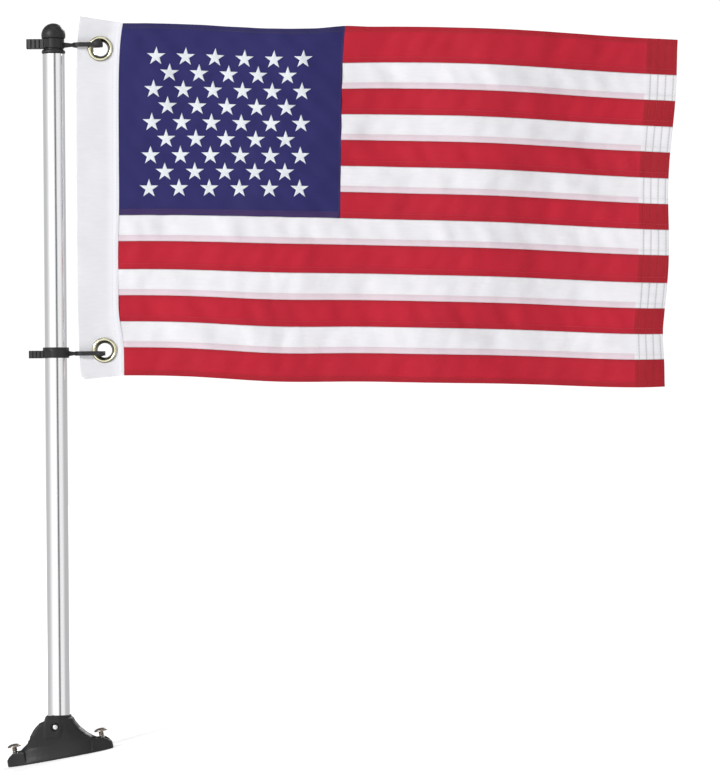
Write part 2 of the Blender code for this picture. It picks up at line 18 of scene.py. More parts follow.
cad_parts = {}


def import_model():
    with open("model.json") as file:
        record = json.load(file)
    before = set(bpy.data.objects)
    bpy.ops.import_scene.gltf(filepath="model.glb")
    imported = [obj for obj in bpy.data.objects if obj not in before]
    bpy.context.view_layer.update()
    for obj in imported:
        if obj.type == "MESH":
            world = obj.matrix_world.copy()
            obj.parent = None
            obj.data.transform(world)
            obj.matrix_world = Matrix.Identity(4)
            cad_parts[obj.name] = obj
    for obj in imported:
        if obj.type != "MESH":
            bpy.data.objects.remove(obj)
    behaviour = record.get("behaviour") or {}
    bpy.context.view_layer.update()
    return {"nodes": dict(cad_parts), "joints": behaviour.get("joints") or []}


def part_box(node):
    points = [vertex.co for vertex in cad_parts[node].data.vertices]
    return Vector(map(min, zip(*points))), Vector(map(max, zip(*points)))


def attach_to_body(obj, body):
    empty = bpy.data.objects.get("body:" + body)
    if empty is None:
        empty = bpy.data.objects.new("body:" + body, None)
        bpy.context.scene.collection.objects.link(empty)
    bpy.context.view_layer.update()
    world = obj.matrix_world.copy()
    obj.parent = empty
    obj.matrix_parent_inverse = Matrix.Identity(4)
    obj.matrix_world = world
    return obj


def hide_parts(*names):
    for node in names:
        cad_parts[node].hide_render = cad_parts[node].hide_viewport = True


MM = 0.001

# The flag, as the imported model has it
FLAG_TOP = 608.2 * MM
FLAG_HEIGHT = 305.0 * MM
FLAG_LENGTH = 480.0 * MM
FIRST_STRIPE = 30.9 * MM
STRIPE_WIDTH = 22.55 * MM
STRIPE_COUNT = 13
WIDE_STRIPE = 8  # the ninth stripe down is a little wider than the others
WIDE_STRIPE_EXTRA = 1.7 * MM
CANTON_STRIPES = 7
CANTON_LENGTH = 195.3 * MM
SEAM_X = 55.4 * MM
HOIST_X = 19.2 * MM
HEADER_WIDTH = SEAM_X - HOIST_X
CORNER_PULL = 22.0 * MM
FLY_DROP = 18.4 * MM
HEADER_RISE = 6.2 * MM
WAVE_HEIGHT = 6.5 * MM
WAVE_LENGTH = 190.0 * MM

# Cloth
SLOTS = {"red": "red_nylon", "white": "white_nylon", "navy": "blue_nylon"}
PLY = 0.36 * MM
EDGE_SHARE = 0.55  # of its thickness that is left at a piece's cut edge
SEAM_BAND = 5.4 * MM  # the seam allowance, folded up behind the stripe above
EDGE_HEM = 4.6 * MM
FLY_HEM = 24.5 * MM
HEM_START = FLAG_LENGTH - FLY_HEM
FLY_ROWS = 4
FLY_ROW_PITCH = 6.05 * MM
FLY_FIRST_ROW = 2.4 * MM
STITCH_INSET = 0.8 * MM  # from the edge of a fold to the row that holds it
STITCH_PITCH = 2.6 * MM
STITCH_LENGTH = 2.0 * MM
THREAD_RADIUS = 0.17 * MM
DRAPE_PITCH = 4.0 * MM
DRAPE_FRAMES = 36
DRAPE_LOOSENESS = 0.007
DRAPE_CLOTH = {
    "quality": 6,
    "mass": 0.12,
    "tension_stiffness": 25,
    "compression_stiffness": 25,
    "shear_stiffness": 8,
    "bending_stiffness": 0.6,
    "air_damping": 2,
    "vertex_group_mass": "held",
    "vertex_group_shrink": "seams",
    "shrink_min": -DRAPE_LOOSENESS,
    "shrink_max": -0.3 * DRAPE_LOOSENESS,
}
DRAPE_LIMIT = 2.5 * MM
DRAPE_SEED = 7
DRAPE_ROUGHNESS = 0.9 * MM
COLUMN_PITCH = 2.5 * MM
SWELL = 0.85 * MM
QUILT = 0.4 * MM

# Stars
STAR_RADIUS = 8.6 * MM
STAR_WAIST = 0.385
STAR_HEIGHT = 0.55 * MM
STAR_ROWS = 9
STAR_FIELD_TOP = (32.6 * MM, 160.8 * MM)
STAR_FIELD_BOTTOM = (27.1 * MM, 159.3 * MM)
STAR_FIRST_DOWN = 28.3 * MM
STAR_ROW_PITCH = 14.37 * MM
STAR_ROW_SLOPE = -0.0115

# Header
HEADER_HALF = 0.75 * MM
HEADER_PLY = 0.55 * MM
HEADER_BOW = 1.1 * MM
HEADER_LAP = 0.8 * MM
HEADER_HOLE = 8.4 * MM

# Metal
EYELET_STEPS = 96
RIM_RADIUS = 10.95 * MM
EYELET_HOLE = 6.2 * MM
EYELET_THROAT = 7.85 * MM
WASHER_HOLE = 7.2 * MM
SCREW_SHANK = 2.41 * MM
SCREW_TIP = 1.6 * MM
THREAD_PITCH = 1.6 * MM
THREAD_DEPTH = 0.5 * MM
HEAD_HEIGHT = 2.8 * MM
HEAD_EDGE = 0.3 * MM
TUBE_WALL = 1.2 * MM
TUBE_BEVEL = 0.25 * MM

# Cap, heights along the pole
TUBE_BORE = 8.325 * MM
CAP_SEAT = 582.0 * MM
NECK_RADIUS = 7.5 * MM
NECK_BOTTOM = 586.3 * MM
NECK_TOP = 595.2 * MM
FLANGE_RADIUS = 10.2 * MM
BALL_RADIUS = 10.45 * MM
BALL_CENTRE = 598.0 * MM

# Camera
VIEW_DISTANCE = 3.0
VIEW_LENS = 160.3
VIEW_CENTRE = (0.3126, 0.0, 0.2665)
VIEW_ROLL = math.radians(-10.47)

# Light
WORLD_FILL = 0.28
# Brightness round the horizon, by degrees from the camera's direction towards +x
WORLD_LEVELS = [
    (-180, 0.66),
    (-100, 0.66),
    (-78, 0.80),
    (-50, 1.28),
    (3, 1.28),
    (12, 0.2),
    (22, 0.2),
    (31, 1.1),
    (62, 1.05),
    (85, 0.60),
    (180, 0.60),
]
KEY_POWER = 60
TOP_POWER = 8
REAR_POWER = 45
FLOOR_GLOW = 0.42
FAR_GLOW = 1.05  # as bright as the world that the camera sees
FLOOR_RADIUS = 12.0


# ---- meshes


def new_object(name, mesh, mat=None):
    obj = bpy.data.objects.new(name, mesh)
    bpy.context.scene.collection.objects.link(obj)
    if mat:
        mesh.materials.append(mat)
    return obj


def soft_shading(mesh, sharp=40):
    """Smooth shading, except across edges that turn by more than `sharp` degrees."""
    mesh.shade_smooth()
    mesh.set_sharp_from_angle(angle=math.radians(sharp))


def mesh_from(name, points, faces):
    mesh = bpy.data.meshes.new(name)
    mesh.from_pydata([tuple(p) for p in np.asarray(points).reshape(-1, 3)], [], faces)
    mesh.validate()
    soft_shading(mesh)
    return mesh


def set_attribute(mesh, name, values):
    attribute = mesh.attributes.new(name, "FLOAT", "POINT")
    attribute.data.foreach_set("value", np.asarray(values, np.float32).ravel())


def set_uv(mesh, per_vertex):
    """A UV layer from one (u, v) for each vertex."""
    layer = mesh.uv_layers.new(name="cloth")
    corners = np.zeros(len(mesh.loops), np.int32)
    mesh.loops.foreach_get("vertex_index", corners)
    layer.data.foreach_set("uv", np.asarray(per_vertex, np.float32).reshape(-1, 2)[corners].ravel())


def grid_faces(rows, columns, start=0, flip=False):
    faces = []
    for i in range(rows - 1):
        for j in range(columns - 1):
            a = start + i * columns + j
            face = (a, a + 1, a + columns + 1, a + columns)
            faces.append(face[::-1] if flip else face)
    return faces


def ring_faces(rings, sides, start=0):
    """Faces between rings of points that each close on themselves, with a cap on either end."""
    faces = []
    for i in range(rings - 1):
        for j in range(sides):
            a, b = start + i * sides + j, start + i * sides + (j + 1) % sides
            faces.append((a, a + sides, b + sides, b))
    faces.append(tuple(start + j for j in range(sides)))
    faces.append(tuple(start + (rings - 1) * sides + j for j in reversed(range(sides))))
    return faces


def rim(rows, columns):
    """Indices round the edge of a grid, in order."""
    top = list(range(columns))
    right = [i * columns + columns - 1 for i in range(1, rows)]
    bottom = [(rows - 1) * columns + j for j in range(columns - 2, -1, -1)]
    left = [i * columns for i in range(rows - 2, 0, -1)]
    return top + right + bottom + left


def turned(profile, steps):
    """A bmesh turned about z from a closed (radius, height) profile. Radius 0 lies on the axis."""
    bm = bmesh.new()
    rings = []
    for radius, height in profile:
        if radius == 0:
            rings.append([bm.verts.new((0, 0, height))] * steps)
            continue
        angles = [2 * math.pi * i / steps for i in range(steps)]
        rings.append([bm.verts.new((radius * math.cos(a), radius * math.sin(a), height)) for a in angles])
    for inner, outer in zip(rings, rings[1:] + rings[:1]):
        for i in range(steps):
            j = (i + 1) % steps
            corners = list(dict.fromkeys((inner[i], inner[j], outer[j], outer[i])))
            if len(corners) > 2:
                bm.faces.new(corners)
    bmesh.ops.recalc_face_normals(bm, faces=bm.faces)
    return bm


def arc(centre, radius, start, end, steps):
    """Points on a circle from angle start to angle end, in degrees."""
    angles = [math.radians(start + (end - start) * i / steps) for i in range(steps + 1)]
    return [(centre[0] + radius * math.cos(a), centre[1] + radius * math.sin(a)) for a in angles]


def from_bmesh(name, bm, matrix, mat, sharp=40):
    mesh = bpy.data.meshes.new(name)
    bm.transform(matrix)
    bm.to_mesh(mesh)
    bm.free()
    soft_shading(mesh, sharp)
    return new_object(name, mesh, mat)


def bake(obj):
    """Keep what the object's modifiers make of it, and drop the modifiers."""
    evaluated = obj.evaluated_get(bpy.context.evaluated_depsgraph_get())
    mesh = bpy.data.meshes.new_from_object(evaluated)
    obj.modifiers.clear()
    obj.data = mesh
    return obj


def cut(obj, cutter):
    modifier = obj.modifiers.new("cut", "BOOLEAN")
    modifier.operation = "DIFFERENCE"
    modifier.solver = "EXACT"
    modifier.object = cutter
    bpy.context.view_layer.update()
    bake(obj)
    bpy.data.objects.remove(cutter, do_unlink=True)


def facing_front(centre):
    """Places a shape made about z at centre, with its top to the front."""
    return Matrix.Translation(centre) @ Matrix.Rotation(math.radians(90), 4, "X")


def drill(obj, centre, radius, reach, steps):
    """A hole from front to back, as far as reach on both sides of centre."""
    profile = [(0, -reach), (radius, -reach), (radius, reach), (0, reach)]
    cut(obj, from_bmesh("drill", turned(profile, steps), facing_front(centre), None))


# ---- materials


def node(tree, kind, inputs=None, **settings):
    """A shader node with its settings, its inputs given as values or as sockets to link."""
    item = tree.nodes.new("ShaderNode" + kind)
    for key, value in settings.items():
        setattr(item, key, value)
    for key, value in (inputs or {}).items():
        if isinstance(value, bpy.types.NodeSocket):
            tree.links.new(value, item.inputs[key])
        else:
            item.inputs[key].default_value = value
    return item


def math_node(tree, operation, a, b=0.0):
    return node(tree, "Math", {0: a, 1: b}, operation=operation).outputs[0]


def start_material(name, colour, roughness, metallic=0.0):
    mat = bpy.data.materials.new(name)
    mat.use_nodes = True
    shader = mat.node_tree.nodes["Principled BSDF"]
    shader.inputs["Base Color"].default_value = (*colour, 1)
    shader.inputs["Roughness"].default_value = roughness
    shader.inputs["Metallic"].default_value = metallic
    return mat, mat.node_tree, shader


def mix_colour(tree, share, one, other):
    mixer = node(tree, "Mix", data_type="RGBA", clamp_factor=True)
    for socket, value in ((0, share), (6, one), (7, other)):
        if isinstance(value, bpy.types.NodeSocket):
            tree.links.new(value, mixer.inputs[socket])
        else:
            mixer.inputs[socket].default_value = value if socket == 0 else (*value, 1)
    return mixer.outputs[2]


def noise(tree, place, scale, detail):
    return node(tree, "TexNoise", {"Vector": place, "Scale": scale, "Detail": detail}).outputs[0]


def set_bump(tree, shader, height, strength, distance):
    bump = node(tree, "Bump", {"Height": height, "Strength": strength, "Distance": distance})
    tree.links.new(bump.outputs[0], shader.inputs["Normal"])


def set_colour(tree, shader, share, dark, light):
    """Let the base colour run from dark to light with share."""
    tree.links.new(mix_colour(tree, share, dark, light), shader.inputs["Base Color"])


def remap(tree, value, low, high):
    return node(tree, "MapRange", {"Value": value, "To Min": low, "To Max": high}).outputs[0]


def set_roughness(tree, shader, value, low, high):
    tree.links.new(remap(tree, value, low, high), shader.inputs["Roughness"])


def attribute(tree, name):
    return node(tree, "Attribute", attribute_name=name).outputs["Fac"]


def scaled(colour, factor):
    return tuple(min(1.0, channel * factor) for channel in colour)


def weave_height(tree, coordinates, pitch):
    """Plain weave: warp and weft threads of the given pitch, one over the other in turn."""
    turn = math.pi / pitch
    split = node(tree, "SeparateXYZ", {0: coordinates})
    warp = math_node(tree, "SINE", math_node(tree, "MULTIPLY", split.outputs[0], turn))
    weft = math_node(tree, "SINE", math_node(tree, "MULTIPLY", split.outputs[1], turn))
    return math_node(tree, "ABSOLUTE", math_node(tree, "MULTIPLY", warp, weft))


def cloth_material(name, colour, weave, hem_and_highlight_colour, band_colour=None, groove_shade_depth=0.5):
    """Woven cloth whose colour follows its hems and seam bands, with painted shade in its stitch grooves
    and along its seams.

    The weave is (pitch, depth) of its threads.
    """
    pitch, depth = weave
    mat, tree, shader = start_material(name, colour, 0.72)
    uv = node(tree, "UVMap", uv_map="cloth").outputs[0]
    threads = weave_height(tree, uv, pitch)
    stretched = node(tree, "Mapping", {"Vector": uv, "Scale": (1.0, 5.0, 1.0)}).outputs[0]
    slubs = noise(tree, stretched, 90.0, 3.0)
    clouds = noise(tree, uv, 22.0, 2.0)
    tone = math_node(tree, "ADD", remap(tree, slubs, -0.15, 0.15), remap(tree, clouds, -0.35, 0.35))
    # Painted shade: the weave's raised crossings are painted a little lighter than its hollows.
    tone = math_node(tree, "ADD", tone, remap(tree, threads, -0.03, 0.03))
    base = mix_colour(tree, math_node(tree, "ADD", tone, 0.5), scaled(colour, 0.86), scaled(colour, 1.14))
    if band_colour:
        base = mix_colour(tree, attribute(tree, "band"), base, band_colour)
    base = mix_colour(tree, attribute(tree, "hem"), base, hem_and_highlight_colour)
    # Painted shade: stitch grooves and seams are darkened towards 0.45 of the cloth colour.
    shaded_groove = math_node(tree, "MULTIPLY", attribute(tree, "shaded_groove"), groove_shade_depth)
    set_colour(tree, shader, shaded_groove, base, scaled(colour, 0.45))
    shader.inputs["Sheen Weight"].default_value = 0.03
    shader.inputs["Sheen Roughness"].default_value = 0.5
    shader.inputs["Specular IOR Level"].default_value = 0.22
    set_roughness(tree, shader, clouds, 0.66, 0.80)
    height = math_node(tree, "ADD", threads, math_node(tree, "MULTIPLY", slubs, 0.8))
    set_bump(tree, shader, height, 0.6, depth)
    return mat


def thread_material(name, colour, pitch=0.45 * MM):
    """Twisted sewing or embroidery thread: fine ridges across the run of the stitch."""
    mat, tree, shader = start_material(name, colour, 0.5)
    uv = node(tree, "UVMap", uv_map="cloth").outputs[0]
    split = node(tree, "SeparateXYZ", {0: uv})
    slant = math_node(tree, "ADD", split.outputs[0], math_node(tree, "MULTIPLY", split.outputs[1], 0.5))
    ridge = math_node(tree, "SINE", math_node(tree, "MULTIPLY", slant, 2 * math.pi / pitch))
    fuzz = noise(tree, uv, 700.0, 2.0)
    # Painted shade: the thread is darker in the grooves between its twists and lighter on their crests; the
    # fuzz adds random tone.
    shade = math_node(tree, "ADD", remap(tree, ridge, 0.25, 0.75), remap(tree, fuzz, -0.3, 0.3))
    set_colour(tree, shader, shade, scaled(colour, 0.84), scaled(colour, 1.08))
    shader.inputs["Sheen Weight"].default_value = 0.2
    set_bump(tree, shader, ridge, 0.5, 0.05 * MM)
    return mat


def nylon_material(name, colour):
    """Moulded black nylon: satin, with a fine spark-eroded grain and faint flow marks."""
    mat, tree, shader = start_material(name, colour, 0.45)
    shader.inputs["Specular IOR Level"].default_value = 0.3
    place = node(tree, "TexCoord").outputs["Object"]
    flow = noise(tree, place, 70.0, 4.0)
    set_colour(tree, shader, flow, scaled(colour, 0.75), scaled(colour, 1.3))
    set_roughness(tree, shader, flow, 0.36, 0.56)
    set_bump(tree, shader, noise(tree, place, 2600.0, 3.0), 0.35, 0.06 * MM)
    return mat


def aluminium_material(name):
    """Drawn, clear-anodised tube: a cool grey with fine die lines along the pole (v)."""
    colour = (0.80, 0.80, 0.815)
    mat, tree, shader = start_material(name, colour, 0.16, 1.0)
    uv = node(tree, "UVMap", uv_map="cloth").outputs[0]
    drawn = node(tree, "Mapping", {"Vector": uv, "Scale": (1.0, 0.012, 1.0)}).outputs[0]
    lines = noise(tree, drawn, 1500.0, 4.0)
    haze = noise(tree, uv, 35.0, 3.0)
    set_colour(tree, shader, lines, scaled(colour, 0.93), scaled(colour, 1.05))
    rough = math_node(tree, "ADD", remap(tree, lines, 0.10, 0.18), remap(tree, haze, -0.02, 0.06))
    tree.links.new(rough, shader.inputs["Roughness"])
    set_bump(tree, shader, lines, 0.12, 0.02 * MM)
    return mat


def metal_material(name, colour, roughness, edge=0.8):
    """Plated or turned metal with slight tarnish, and painted shade: slopes that turn from the camera
    darken towards edge times the colour.
    """
    mat, tree, shader = start_material(name, colour, roughness, 1.0)
    place = node(tree, "TexCoord").outputs["Object"]
    stain = noise(tree, place, 180.0, 5.0)
    base = mix_colour(tree, stain, scaled(colour, 0.72), scaled(colour, 1.18))
    # Painted shade: where the surface turns away from the view, the colour darkens as far as edge times the
    # colour.
    facing = node(tree, "LayerWeight", {"Blend": 0.5}).outputs["Facing"]
    slope_shade = node(tree, "MapRange", {"Value": facing, "From Min": 0.10, "From Max": 0.5}).outputs[0]
    set_colour(tree, shader, slope_shade, base, scaled(colour, edge))
    set_roughness(tree, shader, stain, roughness * 0.7, roughness * 1.5)
    set_bump(tree, shader, noise(tree, place, 3000.0, 2.0), 0.2, 0.03 * MM)
    return mat


def make_materials():
    white, red, navy = (0.82, 0.81, 0.84), (0.495, 0.0132, 0.0325), (0.0235, 0.021, 0.120)
    fine, coarse = (0.30 * MM, 0.05 * MM), (0.55 * MM, 0.12 * MM)
    # band is the darker red that red stripes take towards each seam.
    hem, band = (0.37, 0.012, 0.022), (0.36, 0.012, 0.024)
    # The header canvas's second colour is a painted highlight: the canvas is painted lighter along its
    # seam.
    canvas, painted_seam_highlight = (0.755, 0.755, 0.785), (0.87, 0.87, 0.92)
    return {
        "white": cloth_material("white_nylon_weave", white, fine, white, (0.77, 0.64, 0.70), 0.75),
        "red": cloth_material("red_nylon_weave", red, fine, hem, band, 0.3),
        "navy": cloth_material("blue_nylon_weave", navy, fine, (0.03, 0.026, 0.09), (0.06, 0.03, 0.11)),
        "canvas": cloth_material("header_canvas_weave", canvas, coarse, painted_seam_highlight),
        "white_thread": thread_material("white_thread", (0.80, 0.80, 0.82)),
        "red_thread": thread_material("red_thread", (0.44, 0.012, 0.027)),
        "navy_thread": thread_material("navy_thread", (0.022, 0.02, 0.10)),
        "star_thread": thread_material("star_thread", (0.80, 0.84, 0.88), 0.5 * MM),
        "nylon": nylon_material("moulded_black_nylon", (0.014, 0.014, 0.0145)),
        # The same black nylon painted lighter, standing in for the highlights on the small cap and clips.
        "nylon_painted_lighter": nylon_material("cap_and_clip_nylon_painted_lighter", (0.0205, 0.020, 0.0215)),
        "aluminium": aluminium_material("drawn_aluminium"),
        # edge sets the painted shade on slopes that turn from the camera: brass darkens to 0.24 of its
        # colour there, steel to 0.5.
        "brass": metal_material("pale_brass", (0.84, 0.81, 0.58), 0.2, edge=0.24),
        "steel": metal_material("brown_stainless", (0.40, 0.36, 0.31), 0.32, edge=0.5),
        "pin": metal_material("pin_steel", (0.72, 0.72, 0.73), 0.2),
    }


# ---- the flag's surface


def pole_matrix(joints):
    """The pole's frame, from the fold pin and the clips' swivel axis: z up the tube, x to the flag."""
    pin = Vector(joints["pole_fold"]["pos_m"])
    swivel = Vector(joints["upper_clip_swivel"]["pos_m"])
    up = Vector(joints["upper_clip_swivel"]["axis"]).normalized()
    forward = Vector((0, 1, 0))
    origin = swivel - up * (swivel - pin).dot(up)
    columns = (forward.cross(up), forward, up)
    return Matrix.Translation(origin) @ Matrix(columns).transposed().to_4x4()


def wave(distance, length, phase=0.0):
    return np.sin(2 * math.pi * distance / length + phase)


def hump(distance, width):
    return np.exp(-((distance / width) ** 2))


def seam_pull(down):
    """How far the corners, and the change from canton to stripes, move the header's seam."""
    upper = 4.6 * MM * np.exp(-down / CORNER_PULL)
    lower = 4.4 * MM * smooth_step(down, FLAG_HEIGHT - 60 * MM, FLAG_HEIGHT - 20 * MM)
    return upper + lower - 1.3 * MM * smooth_step(down, 150 * MM, 205 * MM)


def seam_x(down):
    """The seam between header and flag."""
    return SEAM_X - 0.4 * MM + seam_pull(down)


def hoist_x(down):
    """The header's free edge, beside the pole."""
    upper = 4.4 * MM * np.exp(-down / CORNER_PULL)
    return HOIST_X + upper + 3.0 * MM * np.exp((down - FLAG_HEIGHT) / CORNER_PULL)


def header_bow(down):
    """How far the header stands back between its two grommets."""
    share = np.clip((down - 22 * MM) / (FLAG_HEIGHT - 43 * MM), 0, 1)
    return HEADER_BOW * np.sin(math.pi * share) ** 2 * np.sin(5 * share + 0.8)


def flat_cloth(along, down):
    """Where a point of the flag lies before it is draped."""
    share, fall = along / FLAG_LENGTH, down / FLAG_HEIGHT
    fly_sway = (3.4 + 1.5 * np.cos(2 * math.pi * (down - 45 * MM) / (150 * MM))) * MM
    fly_sway += 2.6 * MM * (np.exp(-down / (35 * MM)) + smooth_step(down, 250 * MM, 290 * MM))
    x = seam_x(down) - seam_pull(down) * share + along * (1 - 0.03 * fall) + fly_sway * share**8
    sag = (3.1 + 1.8 * np.cos(2 * math.pi * fall)) * MM * hump(along - 140 * MM, 70 * MM)
    belly = 3.2 * MM * fall**1.4 * hump(share - 0.54, 0.18)
    fly_lift = 4.8 * MM * fall**2 * share**14
    corner = 1.3 * MM * hump(along - CANTON_LENGTH, 14 * MM) * np.exp(-down / (12 * MM))
    z = FLAG_TOP - FLY_DROP * share**2.2 - sag - belly + fly_lift + corner - down
    y = WAVE_HEIGHT * share**1.2 * wave(along / WAVE_LENGTH + 0.25 * fall, 1)
    return np.stack([x, y + header_bow(down) * np.exp(-along / (30 * MM)), z], -1)


def stripe_edges():
    """How far down the flag each stripe begins, and the last one ends."""
    edges = [0.0]
    for i in range(STRIPE_COUNT - 1):
        extra = WIDE_STRIPE_EXTRA if i >= WIDE_STRIPE else 0
        edges.append(FIRST_STRIPE + i * STRIPE_WIDTH + extra)
    return edges + [FLAG_HEIGHT]


def spread(marks, pitch):
    """Even steps of about the given pitch between each two marks, which are all kept."""
    values = [marks[0]]
    for start, end in zip(marks, marks[1:]):
        steps = max(1, round((end - start) / pitch))
        values += [start + (end - start) * i / steps for i in range(1, steps + 1)]
    return np.array(values)


def blur(values, rounds):
    """Average each value with its neighbours, along and down, so that only broad shapes are left."""
    for _ in range(rounds):
        for axis in (0, 1):
            sides = [(0, 0)] * values.ndim
            sides[axis] = (1, 1)
            edged = np.pad(values, sides, mode="edge")
            places = np.arange(values.shape[axis])
            before, middle, after = (np.take(edged, places + shift, axis) for shift in range(3))
            values = (before + 2 * middle + after) / 4
    return values


def add_group(obj, name, indices):
    obj.vertex_groups.new(name=name).add(indices, 1.0, "REPLACE")


def run_cloth(obj):
    cloth = obj.modifiers.new("cloth", "CLOTH")
    for key, value in DRAPE_CLOTH.items():
        setattr(cloth.settings, key, value)
    cloth.settings.effector_weights.gravity = 0
    cloth.collision_settings.use_collision = False
    cloth.point_cache.frame_end = DRAPE_FRAMES
    for frame_number in range(1, DRAPE_FRAMES + 1):
        bpy.context.scene.frame_set(frame_number)


def settle(downs, start):
    """Cloth cut a little larger than its outline settles into ripples between its held edges."""
    rows, columns = start.shape[:2]
    roughened = start.copy()
    roughness = np.random.default_rng(DRAPE_SEED).normal(0, DRAPE_ROUGHNESS, (rows, columns))
    roughened[1:-1, 1:-1, 1] += blur(roughness, 3)[1:-1, 1:-1]
    cloth = new_object("drape", mesh_from("drape", roughened, grid_faces(rows, columns)))
    edges = np.array(stripe_edges())
    tight = [i for i in range(rows) if np.abs(edges - downs[i]).min() < 0.5 * MM]
    add_group(cloth, "held", rim(rows, columns))
    add_group(cloth, "seams", [i * columns + j for i in tight for j in range(columns)])
    run_cloth(cloth)
    mesh = cloth.evaluated_get(bpy.context.evaluated_depsgraph_get()).data
    settled = np.zeros(rows * columns * 3, np.float32)
    mesh.vertices.foreach_get("co", settled)
    bpy.data.objects.remove(cloth, do_unlink=True)
    bpy.context.scene.frame_set(1)
    return settled.reshape(start.shape).astype(float)


def drape(alongs, downs):
    start = flat_cloth(*np.meshgrid(alongs, downs))
    moved = blur(settle(downs, start) - start, 2)
    moved = DRAPE_LIMIT * np.tanh(moved / DRAPE_LIMIT)
    moved[..., [0, 2]] *= 0.4
    return start + moved


def catmull_rom(t):
    """The weights of four neighbouring points at t between the middle two."""
    return [
        (-t + 2 * t**2 - t**3) / 2,
        (2 - 5 * t**2 + 3 * t**3) / 2,
        (t + 4 * t**2 - 3 * t**3) / 2,
        (t**3 - t**2) / 2,
    ]


def canton_end():
    return stripe_edges()[CANTON_STRIPES]


def pucker(along, down):
    """Short ripples that the thread draws up beside each seam, which fade away from it."""
    edges = np.array(stripe_edges()[1:-1])
    offsets = down[..., None] - edges
    nearest = np.abs(offsets).argmin(-1)
    distance = np.abs(offsets).min(-1)
    phase = nearest * 2.1
    ripple = wave(along, 12.5 * MM, phase + 1.6 * np.sin(along / (17 * MM) + phase))
    ripple = ripple + 0.6 * wave(along, 7.9 * MM, 2.3 * phase)
    in_stripes = np.clip((np.maximum(along - CANTON_LENGTH, down - canton_end()) + 3 * MM) / (3 * MM), 0, 1)
    beside_seams = 0.16 * MM * ripple * np.exp(-distance / (5 * MM)) * in_stripes
    in_hem = np.clip((along - HEM_START + 6 * MM) / (8 * MM), 0, 1)
    return beside_seams + 0.16 * MM * wave(down, 8.7 * MM, 1.4 * np.sin(down / (13 * MM))) * in_hem


def billow(along, down):
    """Slanting swells in the cloth of each stripe, flat where its seams hold it."""
    edges = np.array(stripe_edges())
    stripe = np.clip(np.searchsorted(edges, down, side="right") - 1, 0, STRIPE_COUNT - 1)
    share = (down - edges[stripe]) / (edges[stripe + 1] - edges[stripe])
    in_canton = (along < CANTON_LENGTH) & (down < canton_end())
    slant = along + np.where(stripe % 3 == 1, -0.3, 0.5) * (down - edges[stripe])
    phase = 2.4 * stripe
    swell = wave(slant, 47 * MM, phase + 1.5 * np.sin(slant / (31 * MM) + 1.7 * phase))
    swell = swell + 0.6 * wave(slant, 21 * MM, 3.1 * phase + np.sin(slant / (23 * MM)))
    across = np.where(in_canton, 0.0, np.sin(math.pi * np.clip(share, 0, 1)))
    edge = smooth_step(along, 0, 20 * MM) * (1 - 0.7 * smooth_step(along, FLAG_LENGTH - 40 * MM, HEM_START))
    quilt = wave(along + 0.6 * down, 39 * MM, 1.6 * np.sin(down / (19 * MM)))
    quilt = quilt + 0.8 * wave(along - 1.1 * down, 27 * MM, np.sin(along / (25 * MM)))
    return edge * (SWELL * across * swell + np.where(in_canton, QUILT * quilt, 0.0))


class Sheet:
    """A smooth surface through the draped grid. Its normals point to the front, towards -y."""

    def __init__(self, alongs, downs):
        self.alongs, self.downs = alongs, downs
        points = drape(alongs, downs)
        self.padded = np.pad(points, ((1, 2), (1, 2), (0, 0)), mode="reflect", reflect_type="odd")

    @staticmethod
    def locate(values, ticks):
        position = np.interp(values, ticks, np.arange(len(ticks)))
        index = np.clip(position.astype(int), 0, len(ticks) - 2)
        return index, position - index

    def place(self, along, down):
        row, u = self.locate(down, self.downs)
        column, v = self.locate(along, self.alongs)
        total = np.zeros(row.shape + (3,))
        for i, row_weight in enumerate(catmull_rom(u)):
            for j, column_weight in enumerate(catmull_rom(v)):
                total += (row_weight * column_weight)[..., None] * self.padded[row + i, column + j]
        total[..., 1] += pucker(along, down) + billow(along, down)
        return total

    def normal(self, along, down):
        step = 0.4 * MM
        across = self.place(along + step, down) - self.place(along - step, down)
        downwards = self.place(along, down + step) - self.place(along, down - step)
        normals = np.cross(downwards, across)
        return normals / np.linalg.norm(normals, axis=-1, keepdims=True)


# ---- cloth pieces


def smooth_step(value, start, end):
    t = np.clip((value - start) / (end - start), 0, 1)
    return t * t * (3 - 2 * t)


def fly_rows():
    return [FLAG_LENGTH - FLY_FIRST_ROW - i * FLY_ROW_PITCH for i in range(FLY_ROWS)]


def fly_hem(along):
    """1 in the fly hem and 0 before it."""
    return smooth_step(along, HEM_START - 0.4 * MM, HEM_START + 0.3 * MM)


def fly_columns(start, end):
    """Columns of a panel, closer together where the fly hem starts and at its rows of stitches."""
    if end < FLAG_LENGTH:
        return spread([start, start + MM, end - MM, end], COLUMN_PITCH)
    marks = [start, start + MM, HEM_START - 0.5 * MM, HEM_START + 0.3 * MM]
    for row in reversed(fly_rows()):
        marks += [row + shift for shift in (-0.8 * MM, -0.35 * MM, 0, 0.35 * MM, 0.8 * MM)]
    return spread(marks + [FLAG_LENGTH - 0.3 * MM, FLAG_LENGTH], COLUMN_PITCH)


def groove(distance):
    return hump(distance, 0.38 * MM)


